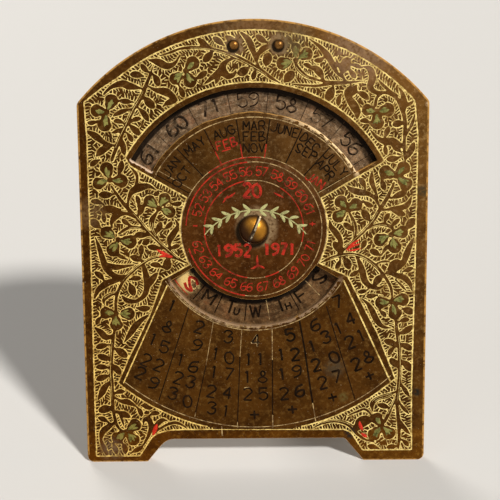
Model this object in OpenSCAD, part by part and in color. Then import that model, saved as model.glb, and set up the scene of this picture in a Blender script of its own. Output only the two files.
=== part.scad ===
// Perpetual desk calendar: an arched brass face plate on two feet, a turning
// calendar disc behind its two windows, and a hinged easel strut at the back.
//
// Everything is drawn in the face frame: X right, Y up the plate, Z out of its
// front, with the dial's centre on the front face as origin. stand() then leans
// the plate back and puts its feet on the ground.

/* [Plate] */
// Width of the plate
plate_w = 98; // [90:1:110]
// Height of the plate along its face
plate_h = 127; // [122:1:140]
// Thickness of the plate
plate_t = 2.5; // [1.5:0.1:4]
// Radius of the arched top
arch_r = 64; // [58:1:90]
// Rounding where the arch meets each side
shoulder_r = 2.2; // [1:0.1:4]
// Rounding of the outer corner of each foot
foot_corner_r = 2; // [0.5:0.1:4]
// Distance of the dial's centre below the top of the arch
dial_drop = 58.6; // [57.6:0.2:62]

/* [Gap between the feet] */
// Height of the gap
gap_h = 6.8; // [4:0.2:10]
// Width of the gap at the ground
gap_w = 63; // [50:1:70]
// How far each side of the gap slants inward from ground to top
gap_slant = 5.6; // [2:0.2:9]
// Rounding of the gap's top left corner
gap_left_r = 5; // [1:0.2:6]
// Rounding of the gap's top right corner
gap_right_r = 1.6; // [0.6:0.2:6]

/* [Windows] */
// Inner radius of the year window
year_in_r = 33; // [31:0.2:35]
// Outer radius of the year window
year_out_r = 39.8; // [37:0.2:41]
// Middle direction of the year window, counter-clockwise from the right
year_mid_deg = 89.5; // [86:0.5:92]
// Angle that the year window spans
year_span_deg = 121; // [100:1:124]
// Inner radius of the weekday window
day_in_r = 20.3; // [18:0.1:23]
// Outer radius of the weekday window
day_out_r = 28; // [25:0.2:30]
// Middle direction of the weekday window, counter-clockwise from the right
day_mid_deg = 270.5; // [268:0.5:273]
// Angle that the weekday window spans
day_span_deg = 117.5; // [100:0.5:124]

/* [Calendar disc and its pivot] */
// Radius of the calendar disc
disc_r = 43; // [41:0.5:45]
// Thickness of the calendar disc
disc_t = 1; // [0.6:0.1:1.6]
// Radius of the centre screw
screw_r = 2.35; // [1.5:0.05:3]
// Radius of the screw's round head
head_r = 4.15; // [3.5:0.05:5.5]
// Height of the screw's round head
head_h = 2.3; // [1.5:0.1:3]
// Width of the screwdriver slot
slot_w = 1; // [0.6:0.1:1.4]
// Depth of the screwdriver slot
slot_depth = 1.2; // [0.6:0.1:1.4]
// Direction of the slot, counter-clockwise from the right
slot_deg = 67; // [0:1:179]
// Wall of the bush that the disc turns on
bush_wall = 1.2; // [0.8:0.1:2]
// Radius of the spacer washer between plate and disc
spacer_r = 9; // [6:0.5:14]
// Thickness of the spacer washer
spacer_t = 0.4; // [0.3:0.1:1]
// Radius of the dished spring washer
spring_r = 7.5; // [6:0.5:10]
// Sheet thickness of the spring washer
spring_t = 0.3; // [0.2:0.05:0.5]
// Height of the spring washer as fitted
spring_h = 0.7; // [0.6:0.1:1.2]
// Radius of the back washer
washer_r = 7; // [6:0.5:9]
// Thickness of the back washer
washer_t = 0.8; // [0.5:0.1:1.5]
// Width of both nuts across their flats
nut_af = 8.2; // [7.6:0.1:10]
// Thickness of the main nut
nut_t = 2.2; // [1.6:0.1:3]
// Thickness of the lock nut
lock_nut_t = 1.4; // [1:0.1:2]
// Length of screw that stands out of the lock nut
screw_tip = 0.8; // [0.2:0.1:2]

/* [Hinge] */
// Sideways offset of the hinge from the plate's middle
hinge_x = 1.1; // [-3:0.1:3]
// Width of the hinge
hinge_w = 22; // [20:0.5:30]
// Height of the fixed leaf above the hinge pin
leaf_h = 9; // [8:0.5:10]
// Thickness of the hinge's sheet brass
leaf_t = 1; // [0.6:0.1:1.4]
// Outer radius of the hinge knuckles
knuckle_r = 2.2; // [1.9:0.1:2.6]
// Width of the middle knuckle, which turns
knuckle_w = 7.6; // [6:0.2:8.4]
// Radius of the hinge pin
pin_r = 1; // [0.7:0.1:1.2]
// Length of the pin's hammered end outside each side knuckle
pin_end = 0.4; // [0.2:0.1:0.8]
// Height of the hinge rivets above the hinge pin
rivet_h = 5; // [4.4:0.1:5.6]
// Distance between the two hinge rivets
rivet_gap = 12.4; // [12:0.2:15]
// Radius of every rivet's shank
rivet_r = 0.9; // [0.6:0.1:1.1]
// Radius of every rivet's domed head
rivet_head_r = 1.4; // [1.2:0.1:1.7]
// Height of every rivet's domed head
rivet_head_h = 0.8; // [0.5:0.1:1.1]

/* [Easel strut] */
// How far the plate leans back from upright
lean_deg = 12; // [6:1:18]
// Angle between the plate and the open strut
strut_open_deg = 24; // [19:1:34]
// Width of the strut at the hinge
strut_top_w = 20; // [18:0.5:30]
// Width of the strut at its foot
strut_foot_w = 14; // [8:0.5:20]
// Thickness of the strut
strut_t = 1.2; // [0.8:0.1:2]
// Length of the moving leaf below the hinge pin
strut_leaf_h = 13; // [10:0.5:18]
// Distance of the strut's rivets below the hinge pin
strut_rivet_drop = 8.4; // [7:0.2:10]
// Distance between the strut's two rivets
strut_rivet_gap = 12; // [8:0.5:14]

/* [Clearances] */
// Radial clearance of a turning part on its pin or bush
run_gap = 0.05; // [0.02:0.01:0.08]
// Radial clearance of a screw or bush in a plain hole
hole_gap = 0.1; // [0.05:0.05:0.3]
// Gap on each side of the turning disc
face_gap = 0.05; // [0.03:0.01:0.1]
// Gap between neighbouring knuckles, and behind them
knuckle_gap = 0.3; // [0.2:0.05:0.6]
// Gap between the disc's edge and the knuckles above it
disc_edge_gap = 1.3; // [0.6:0.1:2]
// Play left at the strut's open stop
stop_gap = 0.1; // [0.05:0.05:0.3]

/* [Hidden] */
$fn = 96;
eps = 0.01;
far = 400;
brass = [0.55, 0.41, 0.2];
dark_brass = [0.35, 0.24, 0.13];
tinned = [0.47, 0.41, 0.34];
bright_brass = [0.7, 0.52, 0.22];

// Plate outline, seen from the front
top_v = dial_drop;
dial_h = plate_h - dial_drop;
feet_v = -dial_h;
arch_v = top_v - arch_r;
shoulder_v = arch_v + sqrt(pow(arch_r - shoulder_r, 2) - pow(plate_w/2 - shoulder_r, 2));

// Pivot stack, as depths behind the front face
plate_back = plate_t;
disc_front = plate_back + spacer_t + face_gap;
disc_back = disc_front + disc_t;
spring_front = disc_back + face_gap;
bush_back = spring_front + spring_h;
washer_back = bush_back + washer_t;
nut_back = washer_back + nut_t;
lock_nut_back = nut_back + lock_nut_t;
screw_end = lock_nut_back + screw_tip;
bush_in_r = screw_r + hole_gap;
bush_r = bush_in_r + bush_wall;

// Hinge, with its pin just above the disc's edge
pin_v = disc_r + disc_edge_gap + knuckle_r;
pin_depth = plate_back + knuckle_gap + knuckle_r;
side_knuckle_w = (hinge_w - knuckle_w)/2 - knuckle_gap;
strut_in = knuckle_r;                      // inner face of the strut behind the pin
leaf_in = knuckle_r - leaf_t;              // inner face of the moving leaf behind the pin
knuckle_clear = knuckle_r + knuckle_gap;
heel_h = (knuckle_r + knuckle_gap - leaf_t + leaf_in*cos(strut_open_deg) - stop_gap)
    /sin(strut_open_deg);

// Stance, with the strut's foot as the rearmost point
strut_lean = strut_open_deg - lean_deg;
pin_up = (dial_h + pin_v)*cos(lean_deg) - pin_depth*sin(lean_deg);
pin_back = (dial_h + pin_v)*sin(lean_deg) + pin_depth*cos(lean_deg);
stance = pin_back + pin_up*tan(strut_lean) + (strut_in + strut_t)/cos(strut_lean);
strut_l = pin_up/cos(strut_lean) + strut_t + strut_in;

// Leans the face frame back, stands it on its feet and centres its stance
module stand() {
    difference() {
        translate([0, -stance/2, 0]) rotate([-lean_deg, 0, 0])
            translate([0, 0, dial_h]) rotate([90, 0, 0]) children();
        translate([-far/2, -far/2, -far/2]) cube([far, far, far/2]);
    }
}

// A solid of the face frame between two depths behind the front face
module layer(front, back) {
    translate([0, 0, -back]) linear_extrude(back - front) children();
}

// Frame of the open strut: Y up along it, Z towards the plate, on the pin
module on_pin(open_deg = 0) {
    translate([hinge_x, pin_v, -pin_depth]) rotate([open_deg, 0, 0]) children();
}

module disc_2d(r, hole_r) {
    difference() {
        circle(r);
        circle(hole_r);
    }
}

// What a fillet of radius r takes off a square corner that opens towards +X, +Y
module corner_waste(r) {
    difference() {
        translate([-eps, -eps]) square(r + eps);
        translate([r, r]) circle(r);
    }
}

module annular_window(in_r, out_r, mid_deg, span_deg) {
    reach = 2*out_r;
    intersection() {
        disc_2d(out_r, in_r);
        polygon([[0, 0],
            for (k = [-1, -0.5, 0, 0.5, 1])
                reach*[cos(mid_deg + k*span_deg/2), sin(mid_deg + k*span_deg/2)]]);
    }
}

// Top corner of the gap between the feet, left filled by its rounding
module gap_corner(r) {
    top = [gap_w/2 - gap_slant, gap_h];
    turn = atan2(gap_h, gap_slant);
    reach = r*tan(turn/2);
    along = [cos(turn), -sin(turn)];
    outward = [sin(turn), cos(turn)];
    middle = top - [reach, r];
    difference() {
        polygon([top - [reach, -1], middle, top + reach*along + outward, top + [1, 1]]);
        translate(middle) circle(r);
    }
}

module foot_gap() {
    translate([0, feet_v]) difference() {
        polygon([[-gap_w/2 - gap_slant/gap_h, -1], [gap_w/2 + gap_slant/gap_h, -1],
            [gap_w/2 - gap_slant, gap_h], [gap_slant - gap_w/2, gap_h]]);
        gap_corner(gap_right_r);
        mirror([1, 0]) gap_corner(gap_left_r);
    }
}

// Where each side runs into the arch, the corner is taken off to a rounding
module shoulder_waste() {
    middle = [plate_w/2 - shoulder_r, shoulder_v];
    lift = atan2(middle[1] - arch_v, middle[0]);
    difference() {
        polygon([middle, middle + [2*shoulder_r, 0], middle + 3*shoulder_r*[1, 1],
            middle + 2*shoulder_r*[cos(lift), sin(lift)]]);
        translate(middle) circle(shoulder_r);
    }
}

module plate_2d() {
    difference() {
        intersection() {
            translate([-plate_w/2, feet_v]) square([plate_w, plate_h + 1]);
            union() {
                translate([0, arch_v]) circle(arch_r, $fn = 180);
                translate([-plate_w, feet_v - 1]) square([2*plate_w, arch_v - feet_v + 1]);
            }
        }
        for (side = [0, 1]) mirror([side, 0]) {
            shoulder_waste();
            translate([-plate_w/2, feet_v]) corner_waste(foot_corner_r);
        }
        foot_gap();
    }
}

module hinge_rivet_places() {
    for (side = [-1, 1])
        translate([hinge_x + side*rivet_gap/2, pin_v + rivet_h]) children();
}

module front_plate() {
    color(dark_brass) stand() difference() {
        layer(0, plate_back) plate_2d();
        layer(-1, plate_back + 1) {
            annular_window(year_in_r, year_out_r, year_mid_deg, year_span_deg);
            annular_window(day_in_r, day_out_r, day_mid_deg, day_span_deg);
            circle(bush_in_r);
            hinge_rivet_places() circle(rivet_r);
        }
    }
}

module calendar_disc() {
    color(tinned) stand() layer(disc_front, disc_back) disc_2d(disc_r, bush_r + run_gap);
}

// Part of a sphere that rises to height h over a base of radius r
module dome(r, h) {
    ball_r = (r*r + h*h)/(2*h);
    intersection() {
        translate([0, 0, h - ball_r]) sphere(ball_r);
        cylinder(h, r = r + 1);
    }
}

module centre_screw() {
    color(bright_brass) stand() union() {
        difference() {
            dome(head_r, head_h);
            rotate(slot_deg) translate([-head_r - 1, -slot_w/2, head_h - slot_depth])
                cube([2*head_r + 2, slot_w, slot_depth + 1]);
        }
        layer(0, screw_end) circle(screw_r);
    }
}

module spacer_washer() {
    color(brass) stand() layer(plate_back, plate_back + spacer_t)
        disc_2d(spacer_r, bush_r + hole_gap);
}

module pivot_bush() {
    color(bright_brass) stand() layer(plate_back, bush_back) disc_2d(bush_r, bush_in_r);
}

// A shallow cone: its rim bears on the disc and its hole's edge on the washer
module spring_washer() {
    in_r = bush_r + hole_gap;
    color("gray") stand() translate([0, 0, -spring_front]) rotate_extrude()
        polygon([[in_r, -spring_h], [in_r, spring_t - spring_h], [spring_r, 0], [spring_r, -spring_t]]);
}

module back_washer() {
    color(brass) stand() layer(bush_back, washer_back) disc_2d(washer_r, bush_in_r);
}

module nut(front, back) {
    stand() layer(front, back) difference() {
        circle(nut_af/2/cos(30), $fn = 6);
        circle(screw_r, $fn = 48);
    }
}

module centre_nut() {
    color(bright_brass) nut(washer_back, nut_back);
}

module lock_nut() {
    color(bright_brass) nut(nut_back, lock_nut_back);
}

// A knuckle of the hinge from x to x + w, on the pin
module knuckle(x, w, bore_r) {
    translate([x, 0, 0]) rotate([0, 90, 0]) difference() {
        cylinder(w, r = knuckle_r);
        translate([0, 0, -1]) cylinder(w + 2, r = bore_r);
    }
}

module pin_hole(w) {
    translate([-w/2 - 1, 0, 0]) rotate([0, 90, 0]) cylinder(w + 2, r = pin_r);
}

// The leaf lies on the plate's back; its two knuckles wrap the pin's ends
module hinge_leaf() {
    slot = knuckle_w + 2*knuckle_gap;
    color(brass) stand() union() {
        difference() {
            layer(plate_back, plate_back + leaf_t)
                translate([hinge_x - hinge_w/2, pin_v]) square([hinge_w, leaf_h]);
            layer(plate_back - 1, plate_back + leaf_t + 1) {
                translate([hinge_x - slot/2, pin_v - 1]) square([slot, knuckle_clear + 1]);
                hinge_rivet_places() circle(rivet_r);
            }
            on_pin() pin_hole(hinge_w);
        }
        on_pin() {
            knuckle(-hinge_w/2, side_knuckle_w, pin_r);
            knuckle(hinge_w/2 - side_knuckle_w, side_knuckle_w, pin_r);
        }
    }
}

module rivet(grip) {
    dome(rivet_head_r, rivet_head_h);
    translate([0, 0, -grip]) cylinder(grip, r = rivet_r);
    translate([0, 0, -grip]) mirror([0, 0, 1]) dome(rivet_head_r, rivet_head_h);
}

module hinge_rivets() {
    color(bright_brass) stand() hinge_rivet_places() rivet(plate_t + leaf_t);
}

module hinge_pin() {
    color(brass) stand() on_pin() rotate([0, 90, 0])
        cylinder(hinge_w + 2*pin_end, r = pin_r, center = true);
}

module strut_rivet_places() {
    for (side = [-1, 1]) translate([side*strut_rivet_gap/2, -strut_rivet_drop, 0]) children();
}

// The moving leaf: a knuckle, a heel that stops on the fixed leaf, and a tongue
module strut_leaf() {
    color(brass) stand() on_pin(strut_open_deg) union() {
        difference() {
            translate([0, 0, -knuckle_r]) linear_extrude(leaf_t) difference() {
                union() {
                    translate([-knuckle_w/2, -strut_leaf_h]) square([knuckle_w, strut_leaf_h + heel_h]);
                    translate([-strut_top_w/2, -strut_leaf_h])
                        square([strut_top_w, strut_leaf_h - knuckle_clear]);
                }
                strut_rivet_places() circle(rivet_r);
            }
            rotate([0, 90, 0]) cylinder(hinge_w, r = pin_r + run_gap, center = true);
        }
        knuckle(-knuckle_w/2, knuckle_w, pin_r + run_gap);
    }
}

// The strut narrows from the hinge to its foot, which is filed flat on the ground
module easel_strut() {
    color(brass) stand() on_pin(strut_open_deg)
        translate([0, 0, -strut_in - strut_t]) linear_extrude(strut_t) difference() {
            polygon([[-strut_top_w/2, -knuckle_clear], [-strut_foot_w/2, -strut_l],
                [strut_foot_w/2, -strut_l], [strut_top_w/2, -knuckle_clear]]);
            strut_rivet_places() circle(rivet_r);
        }
}

module strut_rivets() {
    color(bright_brass) stand() on_pin(strut_open_deg) translate([0, 0, -leaf_in])
        strut_rivet_places() rivet(leaf_t + strut_t);
}

front_plate();
calendar_disc();
centre_screw();
spacer_washer();
pivot_bush();
spring_washer();
back_washer();
centre_nut();
lock_nut();
hinge_leaf();
hinge_rivets();
hinge_pin();
strut_leaf();
strut_rivets();
easel_strut();
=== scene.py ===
import math

import bmesh
import bpy
import numpy as np
from mathutils import Matrix, Vector


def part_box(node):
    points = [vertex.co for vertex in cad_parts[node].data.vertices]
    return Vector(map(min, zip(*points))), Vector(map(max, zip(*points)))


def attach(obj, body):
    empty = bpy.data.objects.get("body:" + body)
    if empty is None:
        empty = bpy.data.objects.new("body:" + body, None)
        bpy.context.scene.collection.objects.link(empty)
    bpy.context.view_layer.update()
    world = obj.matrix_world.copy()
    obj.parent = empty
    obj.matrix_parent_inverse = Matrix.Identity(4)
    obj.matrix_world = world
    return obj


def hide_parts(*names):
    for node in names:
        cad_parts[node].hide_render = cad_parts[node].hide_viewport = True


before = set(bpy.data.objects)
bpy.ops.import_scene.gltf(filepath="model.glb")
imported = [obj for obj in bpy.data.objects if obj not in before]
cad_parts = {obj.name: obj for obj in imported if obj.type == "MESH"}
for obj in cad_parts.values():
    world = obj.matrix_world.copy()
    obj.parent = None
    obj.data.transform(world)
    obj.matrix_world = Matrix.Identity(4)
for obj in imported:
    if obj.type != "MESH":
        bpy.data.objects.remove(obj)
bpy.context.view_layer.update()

# Studio: a plain pale floor, a grey sky for the metal to reflect, and three soft lamps.
# The camera stands in front of the dial, a little above the leaning face's own normal.
LEAN = math.radians(12)
DIAL_HEIGHT = 68.4
VIEW_ANGLE = math.radians(21.3)
VIEW_DISTANCE = 0.3605
foot_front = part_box("front_plate")[0].y
FACE = (Matrix.Translation((0, foot_front, 0)) @ Matrix.Rotation(math.pi / 2 - LEAN, 4, "X")
        @ Matrix.Translation((0, DIAL_HEIGHT / 1000, 0)) @ Matrix.Scale(0.001, 4))
dial_centre = FACE @ Vector((0, 0, 0))


def add_object(name, data):
    """An object in the scene that holds this data."""
    made = bpy.data.objects.new(name, data)
    bpy.context.scene.collection.objects.link(made)
    return made


def looking(place, way):
    """The placing of a camera or lamp that stands here and looks this way."""
    return Matrix.Translation(place) @ way.to_track_quat("-Z", "Y").to_matrix().to_4x4()


def mesh_from(bm, name):
    """The finished bmesh as a mesh."""
    mesh = bpy.data.meshes.new(name)
    bm.to_mesh(mesh)
    bm.free()
    return mesh


def add_node(tree, kind, values=None, **settings):
    """A node with its settings, and with each named input set to a value or joined to a socket."""
    node = tree.nodes.new(kind)
    for name, value in settings.items():
        setattr(node, name, value)
    for key, value in (values or {}).items():
        socket = node.inputs[key]
        if isinstance(value, bpy.types.NodeSocket):
            tree.links.new(value, socket)
        else:
            socket.default_value = (*value, 1) if socket.type == "RGBA" else value
    return node


def number(tree, operation, *values):
    """The result of one sum on numbers or sockets."""
    return add_node(tree, "ShaderNodeMath", dict(enumerate(values)), operation=operation).outputs[0]


def new_material(name, **shader_values):
    """A material with one Principled shader, whose plain numbers are set on its own sockets."""
    material = bpy.data.materials.new(name)
    material.use_nodes = True
    shader = material.node_tree.nodes["Principled BSDF"]
    for key, value in shader_values.items():
        shader.inputs[key.replace("_", " ")].default_value = value
    return material, material.node_tree, shader


camera_data = bpy.data.cameras.new("camera")
camera_data.sensor_width = 36
camera_data.lens = 91.9
camera_data.clip_start = 0.01
camera_data.clip_end = 20
camera = add_object("camera", camera_data)
to_camera = Vector((0, -math.cos(VIEW_ANGLE), math.sin(VIEW_ANGLE)))
camera.matrix_world = (looking(dial_centre + to_camera * VIEW_DISTANCE, -to_camera)
                       @ Matrix.Rotation(math.radians(-0.916), 4, "X")
                       @ Matrix.Rotation(math.radians(0.184), 4, "Y")
                       @ Matrix.Rotation(math.radians(-0.45), 4, "Z"))
bpy.context.scene.camera = camera
bpy.context.scene.view_settings.view_transform = "Standard"

floor_material, tree, shader = new_material("floor_paper", Base_Color=(0.62, 0.61, 0.595, 1), Roughness=0.9)
where = add_node(tree, "ShaderNodeTexCoord").outputs["Object"]
fibre = add_node(tree, "ShaderNodeTexNoise", {"Vector": where, "Scale": 900, "Detail": 4}).outputs["Fac"]
bump = add_node(tree, "ShaderNodeBump", {"Height": fibre, "Strength": 0.05, "Distance": 0.0002})
tree.links.new(bump.outputs["Normal"], shader.inputs["Normal"])
bm = bmesh.new()
bmesh.ops.create_grid(bm, x_segments=1, y_segments=1, size=3)
floor = add_object("floor", mesh_from(bm, "floor"))
floor.data.materials.append(floor_material)

world = bpy.data.worlds.new("studio")
bpy.context.scene.world = world
world.use_nodes = True
sky = world.node_tree
background = sky.nodes["Background"].inputs
background["Color"].default_value = (1, 0.985, 0.96, 1)
rays = add_node(sky, "ShaderNodeLightPath").outputs
seen = number(sky, "MAXIMUM", rays["Is Camera Ray"], rays["Is Glossy Ray"])
seen = number(sky, "MAXIMUM", seen, rays["Is Transmission Ray"])
sky.links.new(number(sky, "MULTIPLY_ADD", seen, 0.66, 0.09), background["Strength"])

# Each lamp: its side in face millimetres, its spread in degrees, its power and its colour.
for name, side, spread, power, colour in (
        ("key_lamp", (400, 470, 660), 7, 3.95, (1, 0.97, 0.92)),
        ("fill_lamp", (-600, 250, 600), 40, 0.18, (1, 0.98, 0.96)),
        ("back_lamp", (-450, 620, -800), 30, 2.0, (1, 0.96, 0.9))):
    lamp = bpy.data.lights.new(name, "SUN")
    lamp.angle = math.radians(spread)
    lamp.energy = power
    lamp.color = colour
    place = FACE @ Vector(side)
    add_object(name, lamp).matrix_world = looking(place, dial_centre - place)

# Front plate: 2.5 mm sheet brass, sawn to an arch on two feet, with two windows pierced and filed
# by hand. Its face has gone dark brown with age; the filed edges are rubbed back to bright brass.
PLATE_THICK = 2.5
YEAR_IN, YEAR_OUT = 33, 39.8
DAY_IN, DAY_OUT = 20.3, 28
CROWN_UP, CROWN_RADIUS = -5.4, 64
RIVETS = ((-5.1, 51.5), (7.3, 51.5))
SCREW_HOLE, RIVET_HOLE = 2.45, 0.95
MERGE = 0.0005
hand = np.random.default_rng(1952)


def arc_points(across, up, radius, start, end, step=0.9):
    """Even points along an arc, in face millimetres; the angles are in degrees."""
    count = max(2, math.ceil(abs(math.radians(end - start)) * radius / step))
    turn = np.radians(np.linspace(start, end, count + 1))
    return np.c_[across + radius * np.cos(turn), up + radius * np.sin(turn)]


def filed_arc(radius, start, end, wander):
    """An arc filed by eye, whose radius wanders a little."""
    line = arc_points(0, 0, radius, start, end)
    drift = np.convolve(hand.normal(0, 1, len(line) + 8), np.ones(7) / 7, "same")[4:-4]
    return line * (1 + wander * drift / radius)[:, None]


def window_edge(inner, outer, middle, span, wander):
    """The outline of a curved window; its inner edge has been filed more."""
    low, high = middle - span / 2, middle + span / 2
    return np.vstack([filed_arc(outer, low, high, wander * 0.5), filed_arc(inner, high, low, wander)])


plate_edge = np.vstack([
    arc_points(47, -66.4, 2, -90, 0, 0.4),
    arc_points(46.8, 34.96, 2.2, 0, 40.77, 0.4),
    arc_points(0, CROWN_UP, CROWN_RADIUS, 40.9, 139.1),
    arc_points(-46.8, 34.96, 2.2, 139.23, 180, 0.4),
    arc_points(-47, -66.4, 2, 180, 270, 0.4),
    [(-31.5, -DIAL_HEIGHT)],
    arc_points(-23.54, -66.6, 5, 140.53, 90, 0.4),
    arc_points(25.145, -63.2, 1.6, 90, 39.47, 0.3),
    [(31.5, -DIAL_HEIGHT)],
])
plate_loops = [plate_edge, window_edge(YEAR_IN, YEAR_OUT, 89.5, 121, 0.3),
               window_edge(DAY_IN, DAY_OUT, 270.5, 117.5, 0.16), arc_points(0, 0, SCREW_HOLE, 0, 340, 0.5)]
plate_loops += [arc_points(x, v, RIVET_HOLE, 0, 330, 0.4) for x, v in RIVETS]


def add_line(data, points, closed):
    """One straight-sided line through the points, as a spline of a curve."""
    spline = data.splines.new("POLY")
    spline.points.add(len(points) - 1)
    spline.points.foreach_set("co", np.c_[points[:, :2], np.zeros(len(points)), np.ones(len(points))].ravel())
    spline.use_cyclic_u = closed
    return spline


def cut_sheet(name, loops, thick, ease):
    """A sheet cut to the first loop, pierced by the others, with its edges eased; its face is at 0."""
    data = bpy.data.curves.new(name, "CURVE")
    data.dimensions = "2D"
    data.fill_mode = "BOTH"
    data.extrude = thick / 2 - ease
    data.bevel_depth = ease
    data.bevel_resolution = 2
    data.offset = -ease
    for loop in loops:
        add_line(data, loop, True)
    mesh = bpy.data.meshes.new_from_object(bpy.data.objects.new(name + "_outline", data))
    mesh.transform(Matrix.Translation((0, 0, -thick / 2)))
    return mesh


def face_outwards(mesh):
    """Merges a mesh's double points and turns its faces outwards."""
    bm = bmesh.new()
    bm.from_mesh(mesh)
    bmesh.ops.remove_doubles(bm, verts=bm.verts, dist=MERGE)
    bmesh.ops.recalc_face_normals(bm, faces=bm.faces)
    bm.to_mesh(mesh)
    bm.free()


def finish_piece(name, mesh, material, slot, body, *nodes, place=FACE, sharp=35):
    """The mesh in its place, merged and turned right side out, as one piece that rides on its body."""
    face_outwards(mesh)
    mesh.transform(place)
    mesh.name = name
    mesh.shade_smooth()
    mesh.set_sharp_from_angle(angle=math.radians(sharp))
    mesh.materials.clear()
    mesh.materials.append(material)
    made = add_object(name, mesh)
    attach(made, body)
    if nodes:
        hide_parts(*nodes)


def face_place(tree):
    """The surface point in face millimetres: across, up and out from the middle of the dial."""
    turn = Matrix.Rotation(LEAN - math.pi / 2, 4, "X")
    back = turn @ Vector((0, -1000 * foot_front, 0)) - Vector((0, DIAL_HEIGHT, 0))
    where = add_node(tree, "ShaderNodeTexCoord").outputs["Object"]
    return add_node(tree, "ShaderNodeMapping", {
        "Vector": where, "Location": back, "Rotation": (LEAN - math.pi / 2, 0, 0),
        "Scale": (1000, 1000, 1000)}).outputs["Vector"]


def face_axes(tree, place):
    """How far the surface lies across, up and out, each by itself."""
    return add_node(tree, "ShaderNodeSeparateXYZ", {"Vector": place}).outputs


def slanting(tree, axes, x_share, y_share):
    """How far the surface lies along a slanting direction of the face."""
    return number(tree, "MULTIPLY_ADD", axes["X"], x_share, number(tree, "MULTIPLY", axes["Y"], y_share))


def apart_from(tree, place, across=0, up=0, out=0):
    """How far the surface lies from a point, in millimetres."""
    return add_node(tree, "ShaderNodeVectorMath", {0: place, 1: (across, up, out)},
                    operation="DISTANCE").outputs["Value"]


def fade(tree, value, start, end):
    """0 before start and 1 after end, with a soft change between them."""
    return add_node(tree, "ShaderNodeMapRange", {"Value": value, "From Min": start, "From Max": end},
                    interpolation_type="SMOOTHSTEP").outputs["Result"]


def beside_line(tree, value, line, end, start):
    """1 where the value is nearer to the line than start, and 0 where it is further than end."""
    return fade(tree, number(tree, "ABSOLUTE", number(tree, "SUBTRACT", value, line)), end, start)


def spot(tree, place, across, up, inner, outer):
    """1 within the inner radius of a point on the face, fading to 0 at the outer."""
    return fade(tree, apart_from(tree, place, across, up), outer, inner)


def cloud(tree, place, scale, detail=4, roughness=0.6):
    """Soft noise, with this many changes to a millimetre."""
    return add_node(tree, "ShaderNodeTexNoise", {"Vector": place, "Scale": scale, "Detail": detail,
                                                 "Roughness": roughness}).outputs["Fac"]


def patchy(tree, place, scale, start, end, detail=4, roughness=0.6):
    """Patches of soft noise, 0 where it is under start and 1 where it is over end."""
    return fade(tree, cloud(tree, place, scale, detail, roughness), start, end)


def stretched(tree, place, angle, along, across):
    """The place turned and squeezed, so that a noise on it becomes fine lines."""
    return add_node(tree, "ShaderNodeMapping", {"Vector": place, "Rotation": (0, 0, math.radians(angle)),
                                                "Scale": (1 / along, 1 / across, 1 / across)},
                    vector_type="TEXTURE").outputs["Vector"]


def product(tree, first, *others):
    """Numbers and sockets multiplied together."""
    for other in others:
        first = number(tree, "MULTIPLY", first, other)
    return first


def tint(tree, amount, first, second, blend_type="MIX"):
    """The first colour with an amount of the second over it."""
    return add_node(tree, "ShaderNodeMix", {0: amount, 6: first, 7: second}, data_type="RGBA",
                    blend_type=blend_type).outputs[2]


def wash(tree, colour, over, *masks):
    """The colour with another over it, where all the masks let it through."""
    return tint(tree, product(tree, *masks), colour, over)


def shade(tree, colour, value):
    """The colour made lighter or darker by a number."""
    grey = add_node(tree, "ShaderNodeCombineXYZ", {"X": value, "Y": value, "Z": value}).outputs[0]
    return tint(tree, 1.0, colour, grey, "MULTIPLY")


aged = bpy.data.node_groups.new("aged_metal", "ShaderNodeTree")
for in_out, sockets in (
        ("INPUT", (("Place", "Vector"), ("Dark", "Color"), ("Middle", "Color"), ("Light", "Color"),
                   ("Specks", "Float"), ("Scratches", "Float"))),
        ("OUTPUT", (("Colour", "Color"), ("Rough", "Float"), ("Height", "Float")))):
    for name, kind in sockets:
        aged.interface.new_socket(name=name, in_out=in_out, socket_type="NodeSocket" + kind)
ends = aged.nodes.new("NodeGroupInput").outputs
place = ends["Place"]
blotches = cloud(aged, place, 0.7, 6, 0.66)
grain = cloud(aged, place, 5, 3)
rubs = patchy(aged, stretched(aged, place, 28, 0.1, 3.1), 1, 0.66, 0.74, 3)
cuts = patchy(aged, stretched(aged, place, -52, 0.07, 4.3), 1, 0.69, 0.75, 2)
scratch = product(aged, number(aged, "MAXIMUM", rubs, cuts), ends["Scratches"])
speck = product(aged, patchy(aged, place, 2.4, 0.68, 0.74, 2, 0.5), ends["Specks"])
pit = patchy(aged, place, 1.9, 0.38, 0.31, 3)
colour = tint(aged, patchy(aged, place, 0.13, 0.36, 0.62, 5, 0.62), ends["Dark"], ends["Middle"])
colour = wash(aged, colour, ends["Light"], fade(aged, blotches, 0.48, 0.68), 0.62)
colour = tint(aged, product(aged, pit, 0.7), colour, (0.25, 0.2, 0.15), "MULTIPLY")
colour = wash(aged, colour, ends["Light"], scratch, 0.6)
colour = wash(aged, colour, (0.55, 0.47, 0.36), speck, 0.8)
colour = shade(aged, colour, number(aged, "MULTIPLY_ADD", fade(aged, grain, 0.3, 0.7), 0.5, 0.75))
rough = number(aged, "MULTIPLY_ADD", blotches, 0.35, 0.3)
height = number(aged, "ADD", product(aged, blotches, 0.8), product(aged, grain, 0.35))
height = number(aged, "SUBTRACT", number(aged, "ADD", height, speck), product(aged, scratch, 0.5))
add_node(aged, "NodeGroupOutput", {"Colour": colour, "Rough": rough, "Height": height})


def use_aged(tree, place, dark, middle, light, specks, scratches):
    """Aged metal in three tones, with its share of specks and scratches."""
    return add_node(tree, "ShaderNodeGroup", {
        "Place": place, "Dark": dark, "Middle": middle, "Light": light, "Specks": specks,
        "Scratches": scratches}, node_tree=aged).outputs


def dress(tree, shader, colour, rough, height, depth):
    """Joins a colour, a roughness and a relief of this many metres to the shader."""
    tree.links.new(colour, shader.inputs["Base Color"])
    tree.links.new(rough, shader.inputs["Roughness"])
    bump = add_node(tree, "ShaderNodeBump", {"Height": height, "Distance": depth, "Strength": 1.0})
    tree.links.new(bump.outputs["Normal"], shader.inputs["Normal"])


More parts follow.
